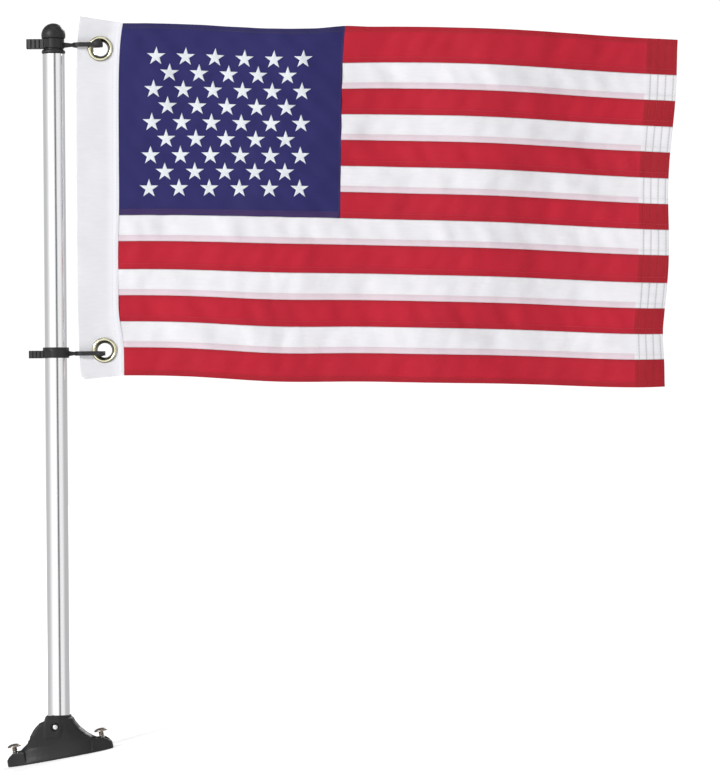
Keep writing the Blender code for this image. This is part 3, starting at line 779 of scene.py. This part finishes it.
def make_panel(name, sheet, alongs, downs, front, back, mat, attributes=None):
    """A closed sheet of cloth. front and back say how far each face stands off the middle surface."""
    along, down = np.meshgrid(alongs, downs)
    middle, normal = sheet.place(along, down), sheet.normal(along, down)
    rows, columns = along.shape
    points = np.stack([middle + normal * front[..., None], middle - normal * back[..., None]])
    size = rows * columns
    faces = grid_faces(rows, columns, 0, True) + grid_faces(rows, columns, size)
    edge = rim(rows, columns)
    for a, b in zip(edge, edge[1:] + edge[:1]):
        faces.append((a, b, b + size, a + size))
    mesh = mesh_from(name, points, faces)
    set_uv(mesh, np.tile(np.stack([along, down], -1).reshape(-1, 2), (2, 1)))
    for key, values in (attributes or {}).items():
        set_attribute(mesh, key, np.tile(np.broadcast_to(values, along.shape).ravel(), 2))
    return new_object(name, mesh, mat)


def round_off(grid):
    """1 inside a panel and less at its outermost line, so that its cut edges look soft."""
    inner = np.full(grid.shape, EDGE_SHARE)
    inner[1:-1, 1:-1] = 1
    return inner


def stripe_rows(top, bottom, first, last):
    """Rows of a stripe, closer together at its seams, its folded band and its line of stitches."""
    marks = [top, top + 0.25 * MM, top + 0.9 * MM]
    if first:
        marks += [top + EDGE_HEM - 0.4 * MM, top + EDGE_HEM + 0.4 * MM]
    band = bottom - (EDGE_HEM if last else SEAM_BAND)
    marks += [band - 0.3 * MM, band + 0.15 * MM, band + 0.5 * MM, band + 0.8 * MM, band + 1.3 * MM]
    return spread(marks + [bottom - 0.9 * MM, bottom - 0.25 * MM, bottom], 2.4 * MM)


def cloth_relief(along, down, top, bottom, first, last, colour):
    """Face heights and colour masks of a stripe: its band, its hems, and painted shade along its stitch
    lines and seams.
    """
    band_start = bottom - (EDGE_HEM if last else SEAM_BAND)
    band = smooth_step(down, band_start - 0.3 * MM, band_start + 0.2 * MM)
    seam_lines = groove(down - band_start - STITCH_INSET)
    edge_hem = np.zeros(along.shape)
    if first:
        edge_hem = 1 - smooth_step(down, top + EDGE_HEM - 0.4 * MM, top + EDGE_HEM + 0.2 * MM)
        seam_lines = np.maximum(seam_lines, groove(down - top - EDGE_HEM + STITCH_INSET))
    if last:
        edge_hem = np.maximum(edge_hem, band)
    fly = fly_hem(along)
    fly_lines = sum(groove((along - row) * 0.8) for row in fly_rows())
    lines = np.minimum(np.maximum(seam_lines, fly_lines), 1)
    front = PLY / 2 + (0.10 * band + 0.16 * fly + 0.10 * edge_hem - 0.13 * lines) * MM
    back = PLY / 2 + (0.22 * fly + 0.10 * edge_hem - 0.10 * lines) * MM
    from_seam = np.minimum(down - top, bottom - down)
    fade = np.zeros(along.shape) if last else band
    # On red stripes the band mask instead darkens the cloth towards each seam.
    if colour == "red":
        fade = 0.75 * np.exp(-from_seam / (1.8 * MM))
    hem = np.maximum(fly, 0.6 * edge_hem)
    # Painted shade in the stitch grooves and in a thin line along both seams.
    shaded_groove = np.clip(0.4 * seam_lines + fly_lines + groove(from_seam), 0, 1)
    return front, back, {"band": fade, "hem": hem, "shaded_groove": shaded_groove}


def stripe_colour(index):
    return "white" if index % 2 else "red"


def stripe_start(index):
    return CANTON_LENGTH if index < CANTON_STRIPES else 0.0


def make_stripe(index, sheet, mats):
    top, bottom = stripe_edges()[index:index + 2]
    first, last = index == 0, index == STRIPE_COUNT - 1
    alongs = fly_columns(stripe_start(index), FLAG_LENGTH)
    downs = stripe_rows(top, bottom, first, last)
    along, down = np.meshgrid(alongs, downs)
    front, back, masks = cloth_relief(along, down, top, bottom, first, last, stripe_colour(index))
    soft = round_off(along)
    name, mat = f"stripe_cloth_{index + 1:02d}", mats[stripe_colour(index)]
    return make_panel(name, sheet, alongs, downs, front * soft, back * soft, mat, masks)


def make_canton(sheet, mats):
    bottom = canton_end()
    alongs = spread([0, MM, CANTON_LENGTH - 2.4 * MM, CANTON_LENGTH - MM, CANTON_LENGTH], COLUMN_PITCH)
    downs = stripe_rows(0.0, bottom, True, False)
    along, down = np.meshgrid(alongs, downs)
    front, back, masks = cloth_relief(along, down, 0.0, bottom, True, False, "navy")
    side = smooth_step(along, CANTON_LENGTH - 2.4 * MM, CANTON_LENGTH - 1.0 * MM)
    lap = 0.10 * MM * smooth_step(along, CANTON_LENGTH - 6 * MM, CANTON_LENGTH - 2.4 * MM)
    masks["band"] = np.maximum(0.7 * masks["band"], 0.5 * side)
    soft = round_off(along)
    front, back = (front + lap) * soft, (back + lap) * soft
    return make_panel("canton_cloth", sheet, alongs, downs, front, back, mats["navy"], masks)


def make_fold(name, sheet, start, end, edge, mat):
    """The seam allowance of the stripe below, folded up behind the one above and sewn flat."""
    alongs = spread([start, start + MM, end - MM, end], COLUMN_PITCH)
    top = edge - SEAM_BAND
    downs = spread([top - 0.2 * MM, top + 0.4 * MM, edge - 0.5 * MM, edge], 1.2 * MM)
    along, down = np.meshgrid(alongs, downs)
    front = np.full(along.shape, -PLY / 2 + 0.02 * MM)
    shaded_groove = groove(down - top - STITCH_INSET)
    back = PLY / 2 + 0.26 * MM + 0.22 * MM * fly_hem(along) - 0.10 * MM * shaded_groove
    back = back - 0.14 * MM * (1 - round_off(along)) / (1 - EDGE_SHARE)
    # The same groove mask paints shade along the fold's row of stitches.
    return make_panel(name, sheet, alongs, downs, front, back, mat, {"shaded_groove": shaded_groove})


def make_folds(sheet, mats):
    pieces = []
    for i, edge in enumerate(stripe_edges()[1:-1]):
        name, mat = f"seam_fold_{i + 1:02d}", mats[stripe_colour(i + 1)]
        pieces.append((make_fold(name, sheet, stripe_start(i), FLAG_LENGTH - 0.4 * MM, edge, mat), i + 1))
    return pieces


def stitch_rows(sheet, rows, name, mat):
    """Lockstitches: short rounded dashes of thread along each row, on both faces of the cloth.

    A row is (start, end, side offset), its ends being (along, down) and the offset being how far
    the cloth's face stands off the middle surface there.
    """
    sections, sides = 5, 6
    reach = np.linspace(-0.5, 0.5, sections) * STITCH_LENGTH
    lift = 0.10 * MM * np.cos(np.linspace(-1.35, 1.35, sections)) - 0.06 * MM
    centres, ups = [], []
    for start, end, offset in rows:
        start, end = np.array(start), np.array(end)
        length = np.linalg.norm(end - start)
        count = max(1, int(length / STITCH_PITCH))
        heading = (end - start) / length
        middles = start + heading * (np.arange(count) + 0.5)[:, None] * length / count
        spots = middles[:, None] + reach[None, :, None] * heading
        place, normal = (find(spots[..., 0], spots[..., 1]) for find in (sheet.place, sheet.normal))
        for face in (1, -1):
            centres.append(place + normal * face * (offset + lift)[None, :, None])
            ups.append(normal * face)
    centre, up = np.concatenate(centres), np.concatenate(ups)
    side = np.cross(np.gradient(centre, axis=1), up)
    side /= np.linalg.norm(side, axis=-1, keepdims=True)
    thickness = THREAD_RADIUS * np.array([0.55, 0.95, 1.0, 0.95, 0.55])[None, :, None, None]
    angle = np.linspace(0, 2 * math.pi, sides, endpoint=False)[:, None]
    ring = np.cos(angle) * side[..., None, :] + np.sin(angle) * up[..., None, :]
    points = centre[..., None, :] + thickness * ring
    faces = []
    for dash in range(len(points)):
        faces += ring_faces(sections, sides, dash * sections * sides)
    mesh = mesh_from(name, points, faces)
    girth = THREAD_RADIUS * np.linspace(0, 2 * math.pi, sides)
    run = np.meshgrid(np.linspace(0, STITCH_LENGTH, sections), girth, indexing="ij")
    set_uv(mesh, np.tile(np.stack(run, -1), (len(points), 1, 1, 1)))
    return new_object(name, mesh, mat)


def flag_stitch_rows():
    """Every row of stitches on the flag, grouped by the colour of its thread."""
    rows = {"red": [], "white": [], "navy": []}
    edges = stripe_edges()
    face = PLY / 2
    for i in range(STRIPE_COUNT):
        own = rows[stripe_colour(i)]
        down = edges[i + 1] - (EDGE_HEM if i == STRIPE_COUNT - 1 else SEAM_BAND) + STITCH_INSET
        own.append(((stripe_start(i) + 2 * MM, down), (HEM_START, down), face))
        own.append(((HEM_START, down), (FLAG_LENGTH - MM, down), face + 0.14 * MM))
        for row in fly_rows():
            own.append(((row, edges[i] + MM), (row, edges[i + 1] - MM), face + 0.08 * MM))
    top, bottom = EDGE_HEM - STITCH_INSET, canton_end()
    rows["red"].append(((CANTON_LENGTH + 2 * MM, top), (HEM_START, top), face))
    for down in (top, bottom - SEAM_BAND + STITCH_INSET):
        rows["navy"].append(((3 * MM, down), (CANTON_LENGTH - 2 * MM, down), face))
    side = CANTON_LENGTH - 1.7 * MM
    rows["navy"].append(((side, 3 * MM), (side, bottom - MM), face + 0.05 * MM))
    return rows


# ---- stars


def star_template():
    """Points of one padded star as (x, up, height), with its faces."""
    tips, per_side = 5, 5
    angles = math.pi / 2 + math.pi * np.arange(2 * tips) / tips
    radii = STAR_RADIUS * np.where(np.arange(2 * tips) % 2, STAR_WAIST, 1)
    outline = np.stack([np.cos(angles), np.sin(angles)], -1) * radii[:, None]
    sides = np.roll(outline, -1, 0) - outline
    steps = np.arange(per_side) / per_side
    edge = (outline[:, None] + sides[:, None] * steps[:, None]).reshape(-1, 2)
    shares = [1.0, 0.97, 0.90, 0.78, 0.6, 0.38, 0.16]
    count, centre = len(edge), len(shares) * len(edge)
    points, faces = [], []
    for ring, share in enumerate(shares):
        height = STAR_HEIGHT * (1 - share**3) ** 0.6 - 0.12 * MM * (share == 1.0)
        points += [(x, y, height) for x, y in edge * (0.985 + 0.015 * share) * share]
        for k in range(count):
            a, b = ring * count + k, ring * count + (k + 1) % count
            faces.append((a, b, centre) if share == shares[-1] else (a, b, b + count, a + count))
    points.append((0.0, 0.0, STAR_HEIGHT))
    return np.array(points), faces


def thread_run(points):
    """How far each point lies out along its nearest arm, and off to its side."""
    angles = math.pi / 2 + 2 * math.pi * np.arange(5) / 5
    arms = np.stack([np.cos(angles), np.sin(angles)], -1)
    out = points[:, :2] @ arms.T
    nearest = out.argmax(1)
    side = points[:, 0] * arms[nearest, 1] - points[:, 1] * arms[nearest, 0]
    return np.stack([out[np.arange(len(points)), nearest], side], -1)


def star_centres():
    """Nine rows of six and five stars by turns; the field narrows a little towards its top."""
    centres = []
    for row in range(STAR_ROWS):
        share = row / (STAR_ROWS - 1)
        left, right = np.array(STAR_FIELD_TOP) * (1 - share) + np.array(STAR_FIELD_BOTTOM) * share
        pitch = (right - left) / 5
        for i in range(6 - row % 2):
            along = left + pitch * (i + 0.5 * (row % 2))
            down = STAR_FIRST_DOWN + STAR_ROW_PITCH * row + STAR_ROW_SLOPE * (along - left)
            centres.append((along, down))
    return centres


def make_stars(sheet, mat, face, name):
    template, template_faces = star_template()
    points, faces, runs = [], [], []
    for along, down in star_centres():
        a, d = along + template[:, 0], down - template[:, 1]
        height = PLY / 2 + template[:, 2]
        start = len(points) * len(template)
        points.append(sheet.place(a, d) + sheet.normal(a, d) * face * height[:, None])
        order = 1 if face > 0 else -1
        faces += [tuple(start + v for v in f[::order]) for f in template_faces]
        runs.append(thread_run(template))
    mesh = mesh_from(name, np.concatenate(points), faces)
    set_uv(mesh, np.concatenate(runs))
    return new_object(name, mesh, mat)


# ---- header


def header_middle(across, down, grommets):
    """The header's middle surface: 0 at the hoist edge to 1 at the seam, and down from the top."""
    x = hoist_x(down) + across * (seam_x(down) + HEADER_LAP - hoist_x(down))
    top = FLAG_TOP + HEADER_RISE * (1 - across)
    bottom = FLAG_TOP - FLAG_HEIGHT - 3.1 * MM * (1 - across)
    z = top + (bottom - top) * down / FLAG_HEIGHT
    y = header_bow(down)
    for centre in grommets:
        dx, dz = x - centre[0], z - centre[2]
        radius = np.hypot(dx, dz)
        fade = hump(radius - 11 * MM, 6 * MM) * smooth_step(radius, 9 * MM, 13 * MM)
        y = y + 0.22 * MM * np.sin(7 * np.arctan2(dz, dx)) * fade
    corner = 5 * MM
    low = np.clip((FLAG_HEIGHT - down) / corner, 0, 1)
    x = x + (1 - across) * corner * 0.8 * (1 - np.sqrt(1 - (1 - low) ** 2))
    return np.stack([x, y, z], -1)


def mirrored(section):
    return [(across, -offset) for across, offset in section[::-1]]


def header_section():
    """The folded strip in section as (across, offset): out round the fold, and back inside it."""
    outer, inner = HEADER_HALF, HEADER_HALF - HEADER_PLY
    fold = outer / HEADER_WIDTH
    stations = np.linspace(fold, 1, 26)
    stations[-2] = 1 - 0.25 * MM / HEADER_WIDTH
    front = [(s, outer) for s in stations[::-1]]
    front[0] = (1.0, outer - 0.2 * MM)
    turn = [(fold * (1 - math.cos(a)), outer * math.sin(a)) for a in np.linspace(math.pi / 2, 0, 7)[1:]]
    half = front + turn
    inside = [(1.0, -inner), (0.8, -inner), (0.4, -inner), (1.6 * MM / HEADER_WIDTH, -inner * 0.6)]
    return half + mirrored(half)[1:] + inside + mirrored(inside)


def make_header(matrix, mats, grommets):
    low_marks = [FLAG_HEIGHT - height for height in (5 * MM, 2 * MM, 0.3 * MM, 0)]
    downs = spread([0, 0.3 * MM] + low_marks, 2.2 * MM)
    across, offset = np.array(header_section()).T
    a, d = np.meshgrid(across, downs)
    points = header_middle(a, d, grommets)
    thin = np.ones(len(downs))
    thin[[0, -1]] = 0.85
    points[..., 1] -= offset[None, :] * thin[:, None]
    mesh = mesh_from("header_cloth", points, ring_faces(len(downs), len(across)))
    set_uv(mesh, np.stack([a * HEADER_WIDTH, d], -1))
    # The hem mask paints a highlight along the seam: the canvas turns lighter within 13 mm of it.
    set_attribute(mesh, "hem", 1 - smooth_step((1 - a) * HEADER_WIDTH, 1 * MM, 13 * MM))
    header = new_object("header_cloth", mesh, mats["canvas"])
    for centre in grommets:
        drill(header, centre, HEADER_HOLE, 5 * MM, 48)
    header.data.transform(matrix)
    return header


class HeaderFace:
    """Lets stitches be sewn to the header: `along` runs across it and `down` along it."""

    def __init__(self, grommets):
        self.grommets = grommets

    def place(self, along, down):
        return header_middle(along / HEADER_WIDTH, down, self.grommets)

    def normal(self, along, down):
        normals = np.zeros(along.shape + (3,))
        normals[..., 1] = -1
        return normals


# ---- metal and moulded pieces


def node_centre(name, to_pole):
    low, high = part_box(name)
    return to_pole @ ((low + high) / 2)


def tube_ends(matrix, low, high, radius):
    """Where the tilted tube ends along its own axis: its box is half a width longer at each end."""
    up = matrix.to_3x3() @ Vector((0, 0, 1))
    lean = radius * math.hypot(up.x, up.y)
    origin = matrix.translation.z
    return (low.z - origin + lean) / up.z, (high.z - origin - lean) / up.z


def tube_mesh(name, outline, radius, steps):
    """An outline turned about z, its UV map being metres round the tube and along it."""
    angles = np.linspace(0, 2 * math.pi, steps + 1)
    radii, heights = np.array(outline).T[..., None]
    points = [radii * np.cos(angles[:-1]), radii * np.sin(angles[:-1]), heights * np.ones(steps)]
    faces, uvs = [], []
    for i in range(len(outline)):
        n = (i + 1) % len(outline)
        for j in range(steps):
            corners = ((i, j), (i, j + 1), (n, j + 1), (n, j))
            faces.append(tuple(ring * steps + column % steps for ring, column in corners))
            uvs += [(angles[column] * radius, outline[ring][1]) for ring, column in corners]
    mesh = mesh_from(name, np.stack(points, -1), faces)
    mesh.uv_layers.new(name="cloth").data.foreach_set("uv", np.array(uvs, np.float32).ravel())
    return mesh


def make_tube(matrix, mats):
    """The tube with fine bevels, its wall seen at the open lower end."""
    low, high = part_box("pole_tube")
    radius = (high.y - low.y) / 2
    bottom, top = tube_ends(matrix, low, high, radius)
    outline = [(radius - TUBE_WALL, bottom), (radius - TUBE_BEVEL, bottom), (radius, bottom + TUBE_BEVEL)]
    outline += [(radius, height) for height in np.linspace(bottom + 20 * MM, top - 10 * MM, 24)]
    outline += [(radius, top - TUBE_BEVEL), (radius - TUBE_BEVEL, top), (radius - TUBE_WALL, top)]
    name = "pole_tube_surface"
    tube = new_object(name, tube_mesh(name, outline, radius, 128), mats["aluminium"])
    pin_low, pin_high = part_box("pivot_pin")
    hole = (pin_high.z - pin_low.z) / 2 + 0.3 * MM
    drill(tube, matrix.inverted() @ ((pin_low + pin_high) / 2), hole, 2 * radius, 32)
    tube.data.transform(matrix)
    soft_shading(tube.data, 30)
    return tube


def make_cap(matrix, mat):
    """The cap as one smooth turning: a cored spigot, a flange, the neck and the ball."""
    spigot, core = TUBE_BORE - 0.3 * MM, TUBE_BORE - 2.5 * MM
    low, seat = CAP_SEAT - 20 * MM, CAP_SEAT + 0.3 * MM
    profile = [(0, NECK_BOTTOM), (core, NECK_BOTTOM), (core, low), (spigot - 0.5 * MM, low)]
    profile += [(spigot, low + 0.8 * MM), (spigot, seat)]
    profile += arc((FLANGE_RADIUS - 0.5 * MM, seat + 0.5 * MM), 0.5 * MM, -90, 0, 4)
    profile += arc((FLANGE_RADIUS - 2 * MM, seat + 1.4 * MM), 2 * MM, 0, 80, 6)
    profile += [(NECK_RADIUS + 1.0 * MM, NECK_BOTTOM), (NECK_RADIUS + 0.3 * MM, NECK_BOTTOM)]
    profile += [(NECK_RADIUS, NECK_BOTTOM + 0.3 * MM), (NECK_RADIUS, NECK_TOP - 0.2 * MM)]
    profile += [(NECK_RADIUS + 0.2 * MM, NECK_TOP)]
    profile += arc((9.6 * MM, NECK_TOP + 0.65 * MM), 0.65 * MM, -90, 0, 4)
    profile += arc((0, BALL_CENTRE), BALL_RADIUS, -10.6, 90, 24)[:-1] + [(0, BALL_CENTRE + BALL_RADIUS)]
    return from_bmesh("top_cap_moulding", turned(profile, 96), matrix, mat)


def make_eyelet(name, centre, matrix, mat):
    """A rolled brass eyelet: full rim in front, barrel through the header, clenched edge behind."""
    low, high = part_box(name + "_eyelet")
    front, back = -low.y, high.y
    face, roll = 0.85 * MM, front - 0.85 * MM
    foot = -back + 0.5 * MM
    profile = [(RIM_RADIUS - roll, face)]
    profile += arc((RIM_RADIUS - roll, front - roll), roll, -60, 90, 14)
    profile += arc((EYELET_THROAT + roll, front - roll), roll, 90, 150, 8)
    profile += [(EYELET_HOLE + 0.15 * MM, -1.3 * MM), (EYELET_HOLE, foot)]
    profile += arc((EYELET_HOLE + 0.5 * MM, foot), 0.5 * MM, 180, 270, 4)
    profile += arc((EYELET_HOLE + 1.7 * MM, foot - 0.05 * MM), 0.45 * MM, 270, 360, 4)
    # The outside of the barrel, which the header hides
    profile += [(6.9 * MM, -1.85 * MM), (6.9 * MM, -1.3 * MM), (8.3 * MM, face)]
    place = matrix @ facing_front(centre)
    return from_bmesh(name + "_rolled_eyelet", turned(profile, EYELET_STEPS), place, mat)


def make_washer(name, centre, matrix, mat):
    """The washer behind the header: a flat ring with a rolled outer edge."""
    low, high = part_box(name + "_washer")
    near, far = -low.y, -high.y
    outer = RIM_RADIUS - 0.3 * MM
    profile = [(WASHER_HOLE, near), (outer, near)]
    profile += arc((outer, (near + far) / 2), (near - far) / 2, 90, -90, 8)[1:] + [(WASHER_HOLE, far)]
    place = matrix @ facing_front(centre)
    return from_bmesh(name + "_pressed_washer", turned(profile, EYELET_STEPS), place, mat)


def screw_thread(name, length, place, mat):
    """A shank with a cut thread that runs out towards the head and on the tapered tip."""
    steps, per_turn = 48, 12
    heights = np.linspace(0, length, int(length / THREAD_PITCH * per_turn) + 1)
    angles = 2 * math.pi * np.arange(steps) / steps
    height, angle = np.meshgrid(heights, angles, indexing="ij")
    turn = (height / THREAD_PITCH - angle / (2 * math.pi)) % 1.0
    ridge = np.clip(1 - np.abs(turn - 0.5) * 3.2, 0, 1)
    runout = smooth_step(length - height, 0, 2.0 * MM) * smooth_step(height, 0, SCREW_TIP)
    taper = 0.45 + 0.55 * smooth_step(height, -0.4 * SCREW_TIP, SCREW_TIP)
    radius = (SCREW_SHANK - THREAD_DEPTH * (1 - ridge * runout)) * taper
    points = np.stack([radius * np.cos(angle), radius * np.sin(angle), height], -1)
    mesh = mesh_from(name, points, [face[::-1] for face in ring_faces(len(heights), steps)])
    mesh.transform(place)
    return new_object(name, mesh, mat)


def cut_cross(head, place):
    """A tapered cross recess, as two blades a quarter turn apart."""
    for quarter in (0, 1):
        bm = bmesh.new()
        bmesh.ops.create_cube(bm, size=1)
        for vert in bm.verts:
            deep = vert.co.z < 0
            vert.co.x *= (0.55 if deep else 1.05) * MM
            vert.co.y *= (2.6 if deep else 5.6) * MM
            vert.co.z *= 3.8 * MM
        turn = place @ Matrix.Rotation(math.radians(90 * quarter + 25), 4, "Z")
        cut(head, from_bmesh("recess", bm, turn, None))


def screw_head(name, radius, place, mat):
    rounding = arc((radius - HEAD_EDGE, HEAD_EDGE), HEAD_EDGE, -90, 0, 4)[1:]
    profile = [(0, 0), (radius - HEAD_EDGE, 0)] + rounding
    for angle in np.linspace(0, math.pi / 2, 14)[1:-1]:
        height = HEAD_EDGE + (HEAD_HEIGHT - HEAD_EDGE) * math.sin(angle)
        profile.append((radius * math.cos(angle), height))
    profile.append((0, HEAD_HEIGHT))
    head = from_bmesh(name, turned(profile, 64), place, mat)
    cut_cross(head, place @ Matrix.Translation((0, 0, HEAD_HEIGHT + 0.2 * MM)))
    soft_shading(head.data, 35)
    return head


def make_screw(name, mat):
    """A truss-head screw: domed head with a cross recess, and a cut thread on its shank."""
    low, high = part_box(name)
    length = high.z - HEAD_HEIGHT - low.z
    tip = Vector(((low.x + high.x) / 2, (low.y + high.y) / 2, low.z))
    thread = screw_thread(name + "_thread", length, Matrix.Translation(tip), mat)
    seat = Matrix.Translation(tip + Vector((0, 0, length)))
    return screw_head(name + "_head", (high.x - low.x) / 2, seat, mat), thread


def soften(obj, voxel, rounds):
    """Give a CAD node the rounded edges of a moulding, by modifiers that leave its own mesh alone."""
    remesh = obj.modifiers.new("even_mesh", "REMESH")
    remesh.mode = "VOXEL"
    remesh.voxel_size = voxel
    remesh.use_smooth_shade = True
    smooth = obj.modifiers.new("rounded_edges", "SMOOTH")
    smooth.factor = 0.5
    smooth.iterations = rounds


def finish_cad_nodes(nodes, mats):
    finishes = {
        "base_body": ("nylon", 0.40 * MM, 4),
        "upper_clip": ("nylon_painted_lighter", 0.24 * MM, 2),
        "lower_clip": ("nylon_painted_lighter", 0.24 * MM, 2),
        "foot_plug": ("nylon", 0.30 * MM, 3),
        "pivot_pin": ("pin", 0.15 * MM, 4),
    }
    for name, (finish, voxel, rounds) in finishes.items():
        obj = nodes[name]
        obj.data.materials.clear()
        obj.data.materials.append(mats[finish])
        soften(obj, voxel, rounds)


# ---- studio


def make_floor():
    """A wide pale floor. Seen by the camera it glows more with distance, so that no horizon shows."""
    steps = 96
    angles = 2 * math.pi * np.arange(steps) / steps
    points = [(FLOOR_RADIUS * math.cos(a), FLOOR_RADIUS * math.sin(a), -0.3 * MM) for a in angles]
    mat, tree, shader = start_material("pale_floor", (0.93, 0.93, 0.935), 0.9)
    grain = node(tree, "TexNoise", {"Scale": 40.0, "Detail": 4.0}).outputs[0]
    set_colour(tree, shader, grain, (0.92, 0.92, 0.925), (0.94, 0.94, 0.945))
    shader.inputs["Emission Color"].default_value = (1, 1, 1, 1)
    place = node(tree, "TexCoord").outputs["Object"]
    distance = node(tree, "VectorMath", {0: place}, operation="LENGTH").outputs["Value"]
    reach = {"Value": distance, "From Min": 0.4, "From Max": 1.6, "To Max": FAR_GLOW - FLOOR_GLOW}
    far = node(tree, "MapRange", reach).outputs[0]
    seen = math_node(tree, "MULTIPLY", far, node(tree, "LightPath").outputs["Is Camera Ray"])
    tree.links.new(math_node(tree, "ADD", seen, FLOOR_GLOW), shader.inputs["Emission Strength"])
    floor = new_object("floor", mesh_from("floor", points, [tuple(range(steps))]), mat)
    floor.visible_glossy = False


def make_world():
    """Soft boxes all round, with a dark gap just right of the camera for the tube to reflect."""
    world = bpy.data.worlds.new("studio")
    bpy.context.scene.world = world
    world.use_nodes = True
    tree = world.node_tree
    direction = node(tree, "SeparateXYZ", {0: node(tree, "TexCoord").outputs["Generated"]})
    away = math_node(tree, "MULTIPLY", direction.outputs[1], -1.0)
    azimuth = math_node(tree, "ARCTAN2", direction.outputs[0], away)
    share = math_node(tree, "ADD", math_node(tree, "DIVIDE", azimuth, 2 * math.pi), 0.5)
    ramp = node(tree, "ValToRGB", {0: share})
    elements = ramp.color_ramp.elements
    while len(elements) < len(WORLD_LEVELS):
        elements.new(0.5)
    for element, (degrees, level) in zip(elements, WORLD_LEVELS):
        element.position = degrees / 360 + 0.5
        element.color = (level, level, level, 1)
    steepness = math_node(tree, "ABSOLUTE", direction.outputs[2])
    fall_off = {"Value": steepness, "From Min": 0.35, "From Max": 0.75, "To Min": 1.0, "To Max": 0.3}
    above = node(tree, "MapRange", fall_off).outputs[0]
    rays = node(tree, "LightPath").outputs
    seen = mix_colour(tree, above, (0, 0, 0), ramp.outputs[0])
    seen = mix_colour(tree, rays["Is Camera Ray"], seen, (FAR_GLOW,) * 3)
    background = tree.nodes["Background"].inputs
    tree.links.new(seen, background["Color"])
    tree.links.new(remap(tree, rays["Is Diffuse Ray"], 1.0, WORLD_FILL), background["Strength"])


def add_light(name, place, target, size, power):
    light = bpy.data.lights.new(name, "AREA")
    light.shape = "DISK"
    light.size = size
    light.energy = power
    lamp = bpy.data.objects.new(name, light)
    lamp.location = place
    lamp.rotation_euler = (Vector(target) - Vector(place)).to_track_quat("-Z", "Y").to_euler()
    bpy.context.scene.collection.objects.link(lamp)


def make_camera():
    camera = bpy.data.cameras.new("camera")
    camera.lens = VIEW_LENS
    camera.clip_end = 50
    viewer = bpy.data.objects.new("camera", camera)
    viewer.location = Vector(VIEW_CENTRE) - Vector((0, VIEW_DISTANCE, 0))
    look = Vector((0, 1, 0)).to_track_quat("-Z", "Y")
    viewer.rotation_mode = "QUATERNION"
    viewer.rotation_quaternion = look @ Quaternion((0, 0, 1), VIEW_ROLL)
    bpy.context.scene.collection.objects.link(viewer)
    bpy.context.scene.camera = viewer


def make_studio():
    make_floor()
    make_world()
    centre = VIEW_CENTRE
    add_light("key", (-1.6, -2.2, 1.9), centre, 0.9, KEY_POWER)
    add_light("top", (0.6, -0.6, 2.4), centre, 1.6, TOP_POWER)
    add_light("rear", (1.5, 2.4, 1.7), centre, 0.9, REAR_POWER)
    make_camera()
    bpy.context.scene.view_settings.view_transform = "Standard"


# ---- build


def attach(piece, body, slot, *replaced):
    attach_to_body(piece, body)
    if replaced:
        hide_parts(*replaced)


def add_header(matrix, mats, grommets):
    attach(make_header(matrix, mats, grommets), "flag", "header_canvas", "header")
    rows = []
    for inset in (2.0 * MM, 5.2 * MM):
        along = HEADER_WIDTH - inset
        rows.append(((along, 3 * MM), (along, FLAG_HEIGHT - 3 * MM), HEADER_HALF))
    sewn = stitch_rows(HeaderFace(grommets), rows, "header_stitches", mats["white_thread"])
    sewn.data.transform(matrix)
    attach(sewn, "flag", "white_nylon")


def add_flag(matrix, mats):
    alongs = spread([0, CANTON_LENGTH, FLAG_LENGTH], DRAPE_PITCH)
    sheet = Sheet(alongs, spread(stripe_edges(), DRAPE_PITCH))
    pieces = [(make_canton(sheet, mats), "navy", ("canton",))]
    for i in range(STRIPE_COUNT):
        pieces.append((make_stripe(i, sheet, mats), stripe_colour(i), (f"stripe_{i + 1:02d}",)))
    for fold, i in make_folds(sheet, mats):
        pieces.append((fold, stripe_colour(i), ()))
    for colour, rows in flag_stitch_rows().items():
        sewn = stitch_rows(sheet, rows, colour + "_stitches", mats[colour + "_thread"])
        pieces.append((sewn, colour, ()))
    for face, side in ((1, "front"), (-1, "back")):
        pieces.append((make_stars(sheet, mats["star_thread"], face, side + "_stars"), "white", ()))
    for piece, colour, replaced in pieces:
        piece.data.transform(matrix)
        attach(piece, "flag", SLOTS[colour], *replaced)


def add_hardware(matrix, mats, grommets):
    for name, centre in zip(("upper_grommet", "lower_grommet"), grommets):
        place = Vector((centre.x, 0, centre.z))
        eyelet = make_eyelet(name, place, matrix, mats["brass"])
        attach(eyelet, "flag", "grommet_brass", name + "_eyelet")
        washer = make_washer(name, place, matrix, mats["brass"])
        attach(washer, "flag", "grommet_brass", name + "_washer")
    attach(make_tube(matrix, mats), "pole", "pole_aluminium", "pole_tube")
    attach(make_cap(matrix, mats["nylon_painted_lighter"]), "pole", "black_nylon", "top_cap")
    for side in ("left", "right"):
        head, thread = make_screw("mount_screw_" + side, mats["steel"])
        attach(head, side + "_screw", "stainless_steel", "mount_screw_" + side)
        attach(thread, side + "_screw", "stainless_steel")


def build():
    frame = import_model()
    joints = {joint["name"]: joint for joint in frame["joints"]}
    matrix = pole_matrix(joints)
    to_pole = matrix.inverted()
    mats = make_materials()
    grommets = [node_centre(name + "_grommet_eyelet", to_pole) for name in ("upper", "lower")]
    add_header(matrix, mats, grommets)
    add_flag(matrix, mats)
    add_hardware(matrix, mats, grommets)
    finish_cad_nodes(frame["nodes"], mats)
    make_studio()


build()
